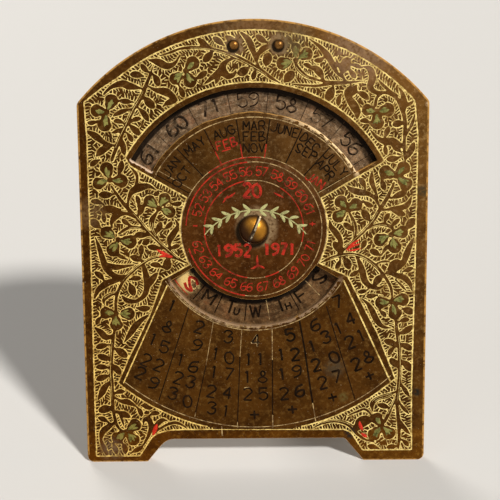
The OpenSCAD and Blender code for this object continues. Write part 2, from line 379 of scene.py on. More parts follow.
plate_brass, tree, shader = new_material("patinated_brass", Metallic=0.14, Specular_IOR_Level=0.03)
place = face_place(tree)
axes = face_axes(tree, place)
depth = number(tree, "MULTIPLY", axes["Z"], -1)
apart = apart_from(tree, place)
metal = use_aged(tree, place, (0.034, 0.0115, 0.0012), (0.060, 0.0215, 0.0025), (0.124, 0.059, 0.0125),
                 0, 0.7)
colour = metal["Colour"]
# Painted light and shade: the face is painted lighter towards the upper right and along the right margin, and
# darker towards the lower left, as the light falls on it; the patina's tone also differs from panel to panel.
slope = slanting(tree, axes, 1, 0.7)
table_side = number(tree, "SUBTRACT", number(tree, "ABSOLUTE", axes["X"]),
                    number(tree, "MULTIPLY_ADD", axes["Y"], -0.445, 19.8))
date_table = product(tree, fade(tree, table_side, 0.3, -0.3), fade(tree, axes["Y"], -15, -20),
                     fade(tree, apart, 59.6, 58.6))
months = product(tree, fade(tree, apart, 33.4, 33.1), fade(tree, axes["Y"], 6, 9))
painted_shade_lower_left = product(tree, fade(tree, slope, -10, -85), number(tree, "SUBTRACT", 1, date_table),
                     fade(tree, axes["X"], -46.6, -45.8))
for zone, shift in (
        (fade(tree, slope, 5, 75), (2.05, 2.45, 4.0)), (date_table, (1.06, 1.08, 1.05)),
        (months, (1.05, 1.16, 1.6)), (fade(tree, apart, 20.8, 20.2), (1.08, 0.98, 1.25)),
        (painted_shade_lower_left, (0.84, 0.76, 0.6)), (fade(tree, axes["X"], -45.4, -46.4), (0.92, 0.82, 0.45)),
        (fade(tree, axes["X"], 45.4, 46.4), (1.15, 1.2, 1.2)),
        (fade(tree, axes["Y"], -58.6, -59.8), (1.55, 1.46, 0.95))):
    colour = tint(tree, zone, colour, shift, "MULTIPLY")
colour = wash(tree, colour, (0.40, 0.29, 0.17), patchy(tree, place, 2.4, 0.69, 0.75, 2, 0.5), 0.6)
# Stains, worn and scraped places and one painted highlight, each with its across, up, inner radius, outer
# radius, colour and strength.
uneven = add_node(tree, "ShaderNodeTexNoise", {"Vector": place, "Scale": 0.5, "Detail": 4}).outputs["Color"]
ragged = add_node(tree, "ShaderNodeVectorMath", {0: place, 1: uneven}, operation="ADD").outputs[0]
for across, up, inner, outer, stain, amount in (
        (-5.1, 51.2, 2.0, 3.4, (0.26, 0.168, 0.082), 0.8), (7.3, 51.6, 2.2, 3.6, (0.25, 0.163, 0.08), 0.8),
        (-6.5, 53.5, 2.5, 8, (0.22, 0.14, 0.07), 0.3), (11.5, 53.0, 1.0, 6.5, (0.088, 0.068, 0.030), 0.65),
        (0.8, 0.7, 4.4, 6.8, (0.29, 0.19, 0.095), 0.9), (22.9, -40.5, 1, 4.2, (0.075, 0.066, 0.040), 0.42),
        (25.4, -49.3, 0.4, 2, (0.12, 0.10, 0.03), 0.6), (27.6, -60.0, 0.9, 2.3, (0.010, 0.013, 0.012), 1.0),
        (46.8, -48.0, 0.8, 1.7, (0.012, 0.012, 0.009), 1.0),
        (47.6, 10.6, 0.9, 2.2, (0.042, 0.032, 0.015), 0.9),
        # The small pale spot at the right shoulder, 48.7 across and 34.9 up, is a painted highlight.
        (48.7, 34.9, 0.3, 1.2, (0.75, 0.55, 0.33), 0.9), (29.5, 50.0, 3, 13, (0.26, 0.16, 0.09), 0.55),
        (1.5, 57.5, 1, 8, (0.22, 0.122, 0.055), 0.45), (12, 57.0, 1, 7, (0.22, 0.122, 0.055), 0.3),
        (-46.5, 5, 1, 6, (0.20, 0.12, 0.05), 0.45), (-42, -64.5, 0.5, 5, (0.20, 0.15, 0.09), 0.4)):
    colour = wash(tree, colour, stain, spot(tree, ragged, across + 0.5, up + 0.5, inner, outer),
                  patchy(tree, place, 0.9, 0.3, 0.58, 5, 0.7), amount)
# Painted shadow: a near-black ring round the screw head and each rivet head, set a little low and to the
# left, where their shadows fall.
for across, up, inner, outer in ((-0.5, -0.6, 4.3, 5.2), (-5.4, 51.1, 1.5, 2.1), (7.0, 51.1, 1.5, 2.1)):
    colour = wash(tree, colour, (0.006, 0.003, 0.001), spot(tree, place, across, up, inner, outer), 0.97)
# The back was never lacquered or handled, so it keeps the brushed finish of the sheet, dulled.
brushed = cloud(tree, stretched(tree, place, 3, 0.05, 2.4), 1, 4)
back = tint(tree, patchy(tree, place, 0.12, 0.35, 0.65, 3), (0.21, 0.124, 0.044), (0.30, 0.19, 0.073))
back = wash(tree, back, (0.40, 0.28, 0.13), fade(tree, brushed, 0.45, 0.65), 0.45)
colour = wash(tree, colour, back, fade(tree, depth, 2.3, 2.48), 0.82)
# The sawn edges are bare brass, worn bright and painted brighter still as a highlight; the upper wall of each
# window is kept dark as painted shade.
bare_and_lit_edges = product(tree, fade(tree, depth, 0.01, 0.06), patchy(tree, place, 0.45, 0.28, 0.5),
                 fade(tree, depth, 2.49, 2.4))
year_wall = product(tree, beside_line(tree, apart, YEAR_OUT, 0.8, 0.5), fade(tree, axes["Y"], 14, 18))
day_wall = product(tree, beside_line(tree, apart, DAY_IN, 0.8, 0.5),
                   product(tree, fade(tree, axes["Y"], -9, -10), fade(tree, depth, 0.2, 0.4)))
painted_shade = product(tree, number(tree, "MAXIMUM", year_wall, day_wall), 0.85)
colour = wash(tree, colour, (0.58, 0.31, 0.085), bare_and_lit_edges, number(tree, "SUBTRACT", 1, painted_shade), 0.9)
# Round the outline, handling has worn the face through to golden brass in a broken line.
outline = number(tree, "MAXIMUM", fade(tree, number(tree, "ABSOLUTE", axes["X"]), 48.35, 48.6),
                 product(tree, fade(tree, apart_from(tree, place, 0, CROWN_UP), 63.4, 63.65),
                         fade(tree, axes["Y"], 30, 32)))
outline = number(tree, "MAXIMUM", outline, fade(tree, axes["Y"], -67.9, -68.15))
colour = wash(tree, colour, (0.48, 0.25, 0.06), outline, patchy(tree, place, 0.5, 0.36, 0.56, 5, 0.7),
              fade(tree, depth, 2.2, 1.8), 0.85)
# Beside the edges that the file has dressed by hand lies a ragged band on the face: above the months and at
# the left end of the year window it is a painted highlight, standing for the lit bevel of the window's wall;
# below the days it is brass scraped bare.
ragged_width = patchy(tree, place, 0.7, 0.38, 0.62, 3)
above_months = product(tree, fade(tree, axes["Y"], 14, 17), fade(tree, axes["X"], 4, 22))
below_days = fade(tree, axes["Y"], -13, -16)
left_end = product(tree, fade(tree, apart, 32.5, 33), fade(tree, axes["X"], -27, -28),
                   fade(tree, apart, 40.2, YEAR_OUT))
off_end = number(tree, "SUBTRACT", 0.05, slanting(tree, axes, 0.5, 0.866))
for off_line, where, width, shine in (
        (number(tree, "SUBTRACT", 33.05, apart), above_months, 0.95, (0.92, 0.66, 0.36)),
        (number(tree, "SUBTRACT", apart, 27.95), below_days, 1.0, (0.27, 0.175, 0.105)),
        (off_end, left_end, 0.4, (0.75, 0.56, 0.40))):
    band = number(tree, "DIVIDE", off_line, number(tree, "MULTIPLY_ADD", ragged_width, width, 0.12))
    colour = wash(tree, colour, shine, fade(tree, band, 1.2, 0.5), where,
                  fade(tree, off_line, -0.5, -0.3), 0.85)
dress(tree, shader, colour, metal["Rough"], metal["Height"], 0.00003)


def file_flat(mesh, place):
    """Cuts off what would reach below the table, and closes the cut."""
    bm = bmesh.new()
    bm.from_mesh(mesh)
    bmesh.ops.remove_doubles(bm, verts=bm.verts, dist=MERGE)
    down = place.inverted()
    cut = bmesh.ops.bisect_plane(
        bm, geom=bm.verts[:] + bm.edges[:] + bm.faces[:], plane_co=down @ Vector((0, 0, 0)),
        plane_no=(down.to_3x3() @ Vector((0, 0, 1))).normalized(), clear_inner=True)
    rim = [e for e in cut["geom_cut"] if isinstance(e, bmesh.types.BMEdge)]
    bmesh.ops.holes_fill(bm, edges=rim, sides=0)
    bm.to_mesh(mesh)
    bm.free()


plate_mesh = cut_sheet("front_sheet", plate_loops, PLATE_THICK, 0.22)
file_flat(plate_mesh, FACE)
finish_piece("front_sheet", plate_mesh, plate_brass, "patinated_brass", "face", "front_plate")

# Ornament: scrolling stems, leaves and three-petalled flowers are left standing in the brass, and
# the ground round them is cut away in short strokes and filled with yellow lacquer.
# Each stem or long leaf is a row of across, up and half width, in face millimetres.
STEMS = [
    [(-39.6, 20, 0.45), (-37.4, 25.6, 0.55), (-35.3, 29.8, 0.45), (-33.2, 34, 0.5), (-31, 37.4, 0.6),
     (-29.6, 40.6, 0.5), (-28.4, 43.4, 0.35), (-27.6, 45.8, 0.1)],
    [(-31, 39.9, 0.3), (-34, 40.5, 1), (-36.5, 41.2, 0.95), (-39.3, 40.2, 0.5), (-41.3, 38.4, 0.3)],
    [(-20, 48.9, 0.2), (-21.4, 46.8, 0.45), (-23.6, 45.9, 0.9), (-26, 47, 1), (-28.8, 47.7, 0.15)],
    [(7.6, 41, 0.15), (5.2, 42.4, 0.4), (2.8, 44.2, 0.5), (0, 45.9, 0.5), (-5, 48.5, 0.55),
     (-10.5, 50.3, 0.4), (-15, 50.9, 0.4), (-19.5, 50.7, 0.35), (-23, 49.5, 0.3), (-25.8, 48.7, 0.1)],
    [(-28.9, 40.4, 0.15), (-26.8, 39.3, 0.6), (-24.4, 38.9, 1.15), (-22.4, 37.8, 0.8), (-20.9, 36.5, 0.12)],
    [(-38.9, 24.2, 0.15), (-41.6, 24.9, 0.6), (-43.8, 26.6, 1), (-45.9, 27.9, 0.5)],
    [(2.4, 44.6, 0.15), (0.9, 47.4, 0.35), (0, 50.3, 0.8), (-1.2, 53, 0.85), (-3, 54.8, 0.35)],
    [(1.2, 46.4, 0.12), (1.6, 48.8, 0.45), (3, 50.5, 0.85), (4.9, 51.1, 0.4)],
    [(-4.9, 48, 0.2), (-7.3, 47, 0.6), (-8.4, 45, 1.1), (-7, 43.1, 0.9), (-5.3, 43.4, 0.6),
     (-4.6, 44.7, 0.12)],
    [(11.7, 46.6, 0.3), (12.6, 44.9, 0.55), (14.6, 43, 0.45), (17.2, 42, 0.35), (20, 41.3, 0.3)],
    [(22, 40.8, 0.4), (18, 40.2, 0.35), (14.4, 40.3, 0.3), (10.9, 40.7, 0.12)],
    [(31.2, 41.4, 0.1), (27.5, 41.1, 0.3), (23.5, 40.9, 0.5), (20, 41.3, 0.35)],
    [(25.8, 41.6, 0.12), (23.4, 43.6, 0.4), (21.9, 46.4, 0.8), (20.4, 48.8, 0.85), (18.4, 51, 0.5),
     (15.6, 53, 0.12)],
    [(30.4, 45.4, 0.12), (32.4, 44.6, 0.8), (33.1, 42.2, 1), (32.5, 39.8, 0.85), (34, 38.3, 0.6),
     (37.2, 38, 0.4), (39.8, 36.6, 0.5), (41.4, 33.6, 0.6), (42.3, 29.8, 0.5), (42.1, 25, 0.45),
     (42.3, 20, 0.35)],
    [(42, 32.8, 0.3), (42, 35.6, 0.8), (41.2, 38.2, 0.5), (40.4, 39.6, 0.12)],
    [(27.2, 40.3, 0.12), (25.8, 38.6, 0.5), (26.6, 36.6, 0.9), (28, 34.6, 1.2), (29, 32.6, 0.9),
     (28.9, 30.8, 0.1)],
    [(36, 38, 0.25), (34.4, 36.8, 0.4), (33.9, 34.6, 0.4)],
    [(32.6, 27.9, 0.12), (34.2, 26, 0.5), (36.4, 24.6, 0.8), (38.8, 24.6, 1.05), (40.8, 24, 0.4),
     (41.9, 22.4, 0.12)],
    [(-18.2, -9.9, 0.12), (-21.5, -8.3, 0.4), (-24.6, -5.6, 0.5), (-27.6, -2.8, 0.4), (-30.4, 0.3, 0.45),
     (-33, 3.6, 0.5), (-36, 6.9, 0.55), (-38.2, 9.9, 0.4), (-39.9, 12.6, 0.3)],
    [(-35.4, 6.8, 0.25), (-35.2, 9, 0.4), (-34.2, 11, 0.8), (-32.2, 12.1, 1.15), (-29.6, 12.6, 0.7),
     (-27.3, 11.4, 0.1)],
    [(-33.6, 12, 0.25), (-32.7, 14, 0.4), (-32.9, 16.2, 0.45), (-34.8, 18.2, 0.1)],
    [(-33.6, 3.6, 0.2), (-36.4, 4.9, 0.5), (-38.9, 4.2, 1), (-40.2, 2.2, 0.5), (-39.8, 0.8, 0.1)],
    [(-30.4, 0.1, 0.2), (-33, 0.9, 0.4), (-35.8, 0.6, 0.45), (-38.2, -0.9, 0.3)],
    [(-27, -2.6, 0.2), (-28.6, 0.2, 0.5), (-28.8, 2.8, 0.75), (-27.3, 5.2, 0.35)],
    [(-24, -5, 0.2), (-23.8, -2.6, 0.85), (-22.6, -0.8, 0.9), (-21.4, 1.2, 0.55), (-22.3, 3.2, 0.1)],
    [(-21.5, -8.3, 0.3), (-25, -7.5, 0.35), (-28.5, -7.9, 0.35), (-31.5, -9.4, 0.4), (-34.5, -11.7, 0.4),
     (-37, -14.2, 0.4), (-38.8, -17.4, 0.45), (-39.6, -20.6, 0.45), (-39.6, -23.4, 0.35)],
    [(-35.6, -13, 0.2), (-39.2, -13.2, 0.7), (-41.8, -11.2, 0.9), (-43, -8, 0.85), (-43.9, -4.8, 0.6),
     (-44.9, -1.8, 0.12)],
    [(-34.2, -9.9, 0.2), (-37, -10.3, 0.5), (-39.6, -10.5, 0.85), (-41.3, -9.5, 0.3)],
    [(-31.6, -9.6, 0.35), (-30.9, -12.4, 0.85), (-30.6, -15.8, 0.85), (-31.2, -18.4, 0.75),
     (-33.6, -20.4, 0.55), (-36.4, -20.2, 0.75), (-37.7, -18.9, 0.25)],
    [(-36.8, -13.8, 0.12), (-39.4, -14.5, 0.6), (-41.8, -15.1, 0.95), (-44.4, -17, 0.75),
     (-45.6, -19.4, 0.3)],
    [(-39.4, -18, 0.2), (-41.4, -18.7, 0.6), (-43, -20, 0.5), (-42.8, -21.6, 0.1)],
    [(-30, -24.3, 0.12), (-32.3, -25.9, 0.65), (-34.4, -28, 0.95), (-36, -30.4, 0.7), (-37.6, -32.6, 0.1)],
    [(-40.2, -28.8, 0.35), (-40.8, -32.6, 0.5), (-41.2, -36.5, 0.5), (-41.5, -41.5, 0.5),
     (-41.3, -46, 0.5), (-41.3, -50, 0.5), (-41, -54, 0.45), (-40.2, -57.4, 0.4), (-38.6, -59.2, 0.3)],
    [(-40.8, -30.4, 0.3), (-42.6, -31, 0.9), (-44, -29.6, 0.9), (-45.6, -28.2, 0.35)],
    [(-41.6, -43.8, 0.12), (-43.4, -45.8, 0.9), (-44.4, -47.6, 0.9), (-45.6, -49.6, 0.12)],
    [(-40.8, -48.8, 0.2), (-38.8, -50, 0.6), (-36.9, -50.3, 0.85), (-34.2, -51.8, 0.12)],
    [(-40.8, -56.4, 0.2), (-42.8, -57.8, 0.85), (-44.4, -59.2, 0.9), (-45, -61.6, 0.45), (-44.2, -64, 0.7),
     (-43.4, -66, 0.5)],
    [(-33.2, -64, 0.15), (-31.7, -61.6, 0.4), (-30.6, -59, 0.6), (-30.4, -57, 0.8), (-31.2, -55.4, 0.8),
     (-32.4, -55.9, 0.45), (-32.5, -57.3, 0.1)],
    [(-29.4, -58.8, 0.25), (-28.3, -56.8, 0.75), (-26.8, -55.8, 0.6), (-25.4, -56.1, 0.1)],
    [(-29.6, -60.2, 0.1), (-28, -58.6, 0.3), (-25.6, -57.2, 0.4), (-23.4, -56.6, 0.45),
     (-21.4, -57.3, 0.35), (-19.8, -58.5, 0.1)],
    [(23.2, -8, 0.3), (25.4, -6, 0.4), (28.4, -3.3, 0.4), (31.5, -0.2, 0.45), (33.8, 2.5, 0.5),
     (35.6, 5.6, 0.55), (37.8, 9.2, 0.5), (39.4, 13, 0.3)],
    [(24.9, -5.8, 0.2), (24.4, -3.2, 0.7), (23.2, -1.2, 0.9), (21.8, 0.6, 0.65), (21.3, 2.6, 0.1)],
    [(28, -3.4, 0.2), (28.6, -0.6, 0.55), (28.2, 1.8, 0.55), (27, 4.4, 0.3)],
    [(35.4, 5.8, 0.12), (34.4, 8.2, 0.45), (32.4, 9.8, 0.6), (29.6, 10.4, 0.95), (27.4, 11.2, 0.7),
     (26, 12.3, 0.12)],
    [(35, 8.6, 0.12), (34, 11, 0.5), (33.1, 13.6, 0.75), (33.2, 16.6, 0.1)],
    [(35.4, 5, 0.12), (38.6, 5.6, 0.5), (41.4, 5.9, 0.8), (43.4, 6.9, 0.75), (44.4, 9.2, 0.12)],
    [(31.9, -0.2, 0.12), (34, 0.8, 0.35), (36.6, 1.2, 0.55), (39, 0.2, 0.4), (39.4, -1, 0.3)],
    [(45.2, -2.6, 0.1), (44.2, -4.8, 0.7), (43.2, -7.4, 0.95), (42.2, -10, 0.75), (39.8, -12.2, 0.5),
     (37.4, -12.4, 0.12)],
    [(18.4, -9.9, 0.1), (21.4, -8.5, 0.4), (24.5, -7.6, 0.45), (28, -7.3, 0.4), (31.4, -8.4, 0.4),
     (34.6, -10.8, 0.45), (37, -13.8, 0.45), (38.8, -17, 0.4), (39.3, -20.4, 0.3)],
    [(28.8, -7.6, 0.2), (30, -10, 0.7), (30.8, -12.6, 0.9), (31.4, -15, 0.95), (33, -16.6, 0.7),
     (35.4, -17.2, 0.45), (37, -16.2, 0.12)],
    [(37.4, -12.9, 0.12), (40, -13.4, 0.6), (42.6, -14.2, 0.9), (44.2, -16, 0.6), (45, -18.2, 0.12)],
    [(30.6, -20.2, 0.12), (32.2, -21.6, 0.5), (33.6, -23.8, 0.85), (34.8, -26.4, 0.85),
     (36.6, -28.4, 0.55), (39.2, -28.9, 0.12)],
    [(40.3, -26.4, 0.35), (40.8, -30.2, 0.5), (41.4, -34.6, 0.5), (41.6, -39, 0.5), (41.6, -43.5, 0.55),
     (41.2, -48, 0.45), (41, -52, 0.45), (41.6, -57, 0.55), (41.7, -61, 0.45), (41.6, -64.8, 0.3)],
    [(41, -48.6, 0.2), (39.8, -51.6, 0.35), (38.3, -55, 0.5), (37.4, -57, 0.35)],
    [(40.6, -47.8, 0.2), (38, -49, 0.65), (35.4, -49.8, 0.6), (33.8, -51.4, 0.7), (34, -53.6, 0.12)],
    [(16.8, -58.5, 0.1), (19.6, -57.1, 0.35), (22.6, -56.5, 0.4), (25.6, -57, 0.5), (27.8, -58.2, 0.6),
     (29.3, -60.2, 0.45), (31.6, -62, 0.35), (34.6, -63, 0.15)],
    [(26.6, -55, 0.1), (29, -53.9, 0.3), (31.6, -53, 0.35), (33.2, -54.2, 0.3), (33.6, -55.2, 0.1)],
    [(27.9, -58, 0.25), (29.4, -58.6, 0.9), (30.6, -57, 1.6), (32, -56.4, 1.5), (33, -56.6, 0.6)],
]
# Each leaf: root across, root up, tip across, tip up, half width, sideways bend.
LEAVES = [
    (-30.2, 43.2, -33.9, 43.7, 0.95, -0.2), (-11.2, 50.7, -15.2, 53.7, 0.85, 0.3),
    (-10.9, 49.9, -13.5, 47, 1.05, 0), (-27.6, 43.8, -26.2, 40.4, 0.95, 0.3),
    (-24.9, 34.9, -21.2, 36.1, 0.85, 0.5), (-30.4, 37.6, -27.4, 34.4, 1.15, 0),
    (-32, 34.6, -29.1, 30.7, 0.85, 0.3), (-34.6, 30, -31.4, 26.9, 0.95, 0),
    (-36.7, 26.4, -36, 21.2, 0.85, 0), (-33.7, 34.2, -39, 32.2, 0.7, -0.3),
    (-33.3, 36.1, -37.2, 36.5, 0.75, 0), (-35.7, 29.2, -39.5, 27.6, 0.6, 0.2),
    (-38.7, 24.2, -44, 21, 1.05, -0.6), (3.6, 45.8, 4.4, 49, 1.3, 0), (8.7, 41.3, 11.2, 44, 1.3, 0),
    (-8.4, 46.4, -13.6, 40.8, 0.65, 0.5), (-8.8, 44.4, -10.3, 40.9, 0.6, 0), (-1, 45.3, -3.9, 43.5, 1.2, 0),
    (19.6, 41.8, 16.7, 45.6, 1.05, -0.3), (22.3, 40, 20.6, 36.1, 1.3, 0), (25.4, 41.8, 22.8, 48, 0.35, 0),
    (24.6, 43.4, 26.3, 47.8, 1.4, 0), (26.6, 46, 30.2, 44.9, 0.6, 0.2), (26.8, 47.2, 29, 49, 0.4, 0),
    (40, 37.4, 34.6, 41.9, 0.45, 0.4), (42, 34, 44.6, 35.7, 0.5, 0), (42.5, 26.2, 45, 32.2, 0.45, -0.3),
    (42.5, 19.4, 44.9, 24.4, 0.95, -0.2), (28.7, 40.2, 27.1, 37.5, 1.05, 0), (41.8, 29.8, 38.9, 29.3, 1, 0),
    (41.2, 21.6, 38.8, 23.9, 0.9, 0), (-39.4, 10.4, -43.5, 10.4, 1.05, 0.2),
    (-37.6, 6.1, -43.3, 6, 1.15, 0), (-29.8, -1.4, -33.7, -1.2, 0.95, 0), (-32.7, 4, -31, 7.4, 0.9, 0),
    (-27.6, -0.9, -26.1, 2.3, 0.9, 0), (-18.9, 8.4, -20.9, 10.4, 0.5, 0),
    (-26.1, -5.4, -30.2, -4.6, 0.9, 0), (-31.6, -8.7, -35.1, -7.5, 0.95, 0), (-43.4, 0.9, -46, 3, 1.2, 0),
    (-36, -8.3, -39, -6.9, 0.6, 0), (-24.4, -8, -24.9, -11.2, 1.25, 0),
    (-30.2, -17, -27.4, -12.2, 0.9, 0.4), (-35.5, -15.2, -34.3, -18.7, 1.1, 0),
    (-41.3, -37.7, -45.3, -36.3, 1, 0), (-40.4, -34.2, -36.8, -36.9, 1.15, 0.2),
    (-41, -39, -38.9, -42.1, 0.95, 0.2), (-42, -42.2, -45.9, -43.6, 0.95, 0),
    (-40.4, -53.2, -36.2, -55, 0.95, 0.2), (-41.3, -52.3, -45.3, -53.1, 1.2, -0.4),
    (-32.9, -51.4, -29.8, -52, 1.15, 0.2), (-36.4, -65.8, -32.8, -63.8, 0.75, 0),
    (-40.1, -53, -38.2, -57.8, 0.35, 0.3), (23.9, -6.8, 22.5, -3.7, 0.95, -0.2),
    (28, -0.6, 25.3, 1.7, 0.85, 0), (32.7, 2.2, 30.6, 5.3, 1.1, 0), (38.6, 8.6, 43, 10.4, 0.95, 0),
    (39.2, 4.8, 42.7, 3.9, 0.85, 0), (43, -0.2, 45.2, 2.7, 1.2, 0), (35.7, -7.7, 32.9, -6.1, 0.95, 0),
    (36.1, -7.6, 37.8, -4.7, 0.5, 0), (38, -11.6, 41.3, -9.3, 1.25, 0),
    (25.5, -8.2, 26.9, -11.5, 1.15, 0.2), (36.3, -13.2, 34.1, -16.1, 1.1, 0),
    (40.2, -14.8, 43.3, -18, 0.35, 0), (42.3, -23.2, 45.4, -24.4, 1.1, 0),
    (40.9, -30.6, 45.3, -28, 0.95, -0.5), (41, -33.8, 37.1, -32.5, 1, 0), (41.5, -40.7, 38.8, -37.9, 1, 0),
    (41.5, -33.4, 45.3, -35.2, 0.95, 0), (41.9, -38.4, 45.3, -41.7, 1.1, 0.2),
    (41.8, -45, 44.6, -49.4, 0.65, 0), (41.6, -55.6, 45, -60.7, 0.65, -0.4),
    (41.5, -50.4, 44.6, -54.6, 0.5, -0.3), (35.9, -64.9, 32.6, -64, 0.85, 0),
    (41.2, -64.2, 38.2, -64.6, 0.8, 0), (30.4, -5.8, 31.6, -3.4, 0.8, 0), (35, -9.9, 38.3, -9.5, 0.35, 0.2),
]
# Each flower: its hub, across and up, then three petals, each across, up and radius.
FLOWERS = [
    ((-40.7, 33.4), (-43.3, 33.8, 1.85), (-39.3, 36.4, 1.95), (-41.3, 30, 2)),
    ((-18.5, 44.6), (-21.3, 42.5, 1.75), (-16.6, 46.6, 1.95), (-17.4, 41.8, 1.9)),
    ((11.9, 47.2), (8.4, 46.4, 1.85), (11.9, 50.6, 1.4), (14.8, 48.9, 1.8)),
    ((34.4, 32.9), (31.9, 33.4, 1.7), (37.3, 33.4, 2), (34.5, 30, 2)),
    ((-40.3, 14.4), (-41.1, 17.5, 1.95), (-43.4, 13.5, 1.8), (-37.2, 14.1, 1.95)),
    ((-26.7, 6.2), (-29.2, 8.2, 1.85), (-25.1, 8.9, 1.75), (-23.8, 5.2, 1.75)),
    ((-38.4, -2.6), (-41.5, -0.6, 1.9), (-39.9, -5.5, 1.95), (-35.2, -3.2, 2.05)),
    ((-39.6, -24.1), (-42.3, -23.8, 1.85), (-36.1, -24.1, 1.9), (-39.6, -27.1, 1.9)),
    ((-37.6, -59.2), (-35.1, -57.3, 1.95), (-40, -61, 1.9), (-35.6, -61.6, 1.9)),
    ((40, 14.9), (37.2, 15.9, 2.05), (41.9, 17, 2), (42.6, 12.7, 2)),
    ((26.4, 5.6), (24.6, 7.6, 1.9), (28.6, 6.8, 1.95), (23.9, 3.6, 1.85)),
    ((38.8, -1.8), (35.7, -3.2, 1.95), (41.7, -1.1, 1.85), (39.8, -5.2, 1.95)),
    ((39, -21.1), (36.2, -21.4, 1.85), (42.1, -20.6, 1.95), (40.1, -24.4, 2)),
    ((36.6, -57.9), (35.3, -55.9, 1.85), (34.5, -60.5, 1.95), (38.7, -60.2, 1.95)),
]
GRID = 0.15
grid_x = np.arange(-48, 48, GRID)
grid_v = np.arange(-68, 60, GRID)
mesh_x, mesh_v = np.meshgrid(grid_x, grid_v)
BORDER_OUT = np.vstack([
    [(-46.9, 36.2), (-46.4, 26), (-46.3, -12), (-46.4, -45), (-46.4, -66.6), (-33.8, -66.6), (-30.1, -60.9),
     (-28.6, -59.9), (-26.9, -59.3), (-24.3, -58.8), (-20.1, -58.7), (0, -58.9), (25.8, -59), (27.8, -60),
     (31.2, -65.3), (45.4, -65.3), (45.3, -60), (45.1, -48), (45.6, -12), (45.9, 26), (44.9, 35.6)],
    arc_points(0, CROWN_UP, 61, 43.5, 128), [(-41.9, 39.9), (-44.6, 37.9)]])
BORDER_IN = np.vstack([
    arc_points(0, 0, 41.4, 28.2, 150.2), [(-34.4, 18.2), (-18.6, 9.1)], arc_points(0, 0, 20.9, 154, 208.4),
    [(-18.3, -9.9), (-26.2, -14.2), (-29.8, -24.1), (-36.4, -37.3), (-39.3, -43.9)],
    arc_points(0, 0, 59.6, 228.2, 312.4),
    [(40.7, -44.6), (35.2, -30.4), (29.9, -20.2), (26.6, -13.7), (18.5, -9.8)],
    arc_points(0, 0, 20.9, -28, 25.2), [(19, 8.8), (36.6, 19.0)]])


def run_along(line):
    """How far along a line each of its points lies."""
    return np.r_[0, np.cumsum(np.hypot(*np.diff(line, axis=0).T))]


def even_line(line, step):
    """The same line with its points at an even step."""
    run = run_along(line)
    at = np.linspace(0, run[-1], max(2, round(run[-1] / step) + 1))
    return np.c_[np.interp(at, run, line[:, 0]), np.interp(at, run, line[:, 1])]


def inside_loop(loop):
    """How far each grid point lies inside a closed loop."""
    best = np.full(mesh_x.shape, 1e4)
    inside = np.zeros(mesh_x.shape, bool)
    for (x0, v0), (x1, v1) in zip(loop, np.roll(loop, -1, axis=0)):
        dx, dv = x1 - x0, v1 - v0
        t = np.clip(((mesh_x - x0) * dx + (mesh_v - v0) * dv) / (dx * dx + dv * dv), 0, 1)
        np.minimum(best, (mesh_x - x0 - t * dx) ** 2 + (mesh_v - v0 - t * dv) ** 2, out=best)
        if v0 != v1:
            inside ^= ((v0 > mesh_v) != (v1 > mesh_v)) & (mesh_x < x0 + (mesh_v - v0) * dx / dv)
    return np.where(inside, 1, -1) * np.sqrt(best)


def flowing(points, step=0.5):
    """Even points on a smooth line through hand-set points, each with its own half width."""
    p = np.array(points, float)
    p = np.vstack([2 * p[0] - p[1], p, 2 * p[-1] - p[-2]])
    parts = []
    for a, b, c, d in zip(p, p[1:], p[2:], p[3:]):
        count = max(2, int(np.hypot(*(c - b)[:2]) / step))
        t = np.arange(count)[:, None] / count
        parts.append(0.5 * (2 * b + (c - a) * t + (2 * a - 5 * b + 4 * c - d) * t ** 2
                            + (3 * b - a - 3 * c + d) * t ** 3))
    line = np.vstack(parts + [p[-2:-1]])
    line[:, 2] = np.maximum(line[:, 2], 0.06)
    return line


def leaf_line(x0, v0, x1, v1, width, bend):
    """A leaf from root to tip, fullest beyond its middle."""
    t = np.linspace(0, 1, 15)[:, None]
    root, tip = np.array([x0, v0]), np.array([x1, v1])
    side = np.array([v0 - v1, x1 - x0]) / np.hypot(x1 - x0, v1 - v0)
    line = root + (tip - root) * t + side * bend * 4 * t * (1 - t)
    return np.c_[line, np.maximum(width * np.sin(math.pi * t ** 1.25) ** 0.8, 0.08 + 0.2 * (1 - t) ** 2)]


def straight(start, end, start_half, end_half):
    """A straight stroke between two points of the face, with its half width at each end."""
    return np.array([(*start, start_half), (*end, end_half)])


def turned_by(way, turn):
    """A direction on the face, or rows of across and up, turned by an angle in radians."""
    return np.array([way[0] * math.cos(turn) - way[1] * math.sin(turn),
                     way[0] * math.sin(turn) + way[1] * math.cos(turn)])


reserved = np.full(mesh_x.shape, 9.0)


def leave_standing(line, join):
    """Adds a tapered line to the brass that is left standing, with a soft fillet where it joins."""
    reach = line[:, 2].max() + 2.6
    low = ((line[:, :2].min(0) - reach - (grid_x[0], grid_v[0])) / GRID).astype(int).clip(0)
    high = ((line[:, :2].max(0) + reach - (grid_x[0], grid_v[0])) / GRID).astype(int).clip(1)
    part = (slice(low[1], high[1]), slice(low[0], high[0]))
    px, pv = mesh_x[part], mesh_v[part]
    best = np.full(px.shape, 9.0)
    for (x0, v0, r0), (x1, v1, r1) in zip(line, line[1:]):
        dx, dv = x1 - x0, v1 - v0
        t = np.clip(((px - x0) * dx + (pv - v0) * dv) / max(dx * dx + dv * dv, 1e-9), 0, 1)
        np.minimum(best, np.hypot(px - x0 - t * dx, pv - v0 - t * dv) - r0 - t * (r1 - r0), out=best)
    blend = np.maximum(join - np.abs(reserved[part] - best), 0)
    reserved[part] = np.minimum(reserved[part], best) - blend * blend / (4 * join)


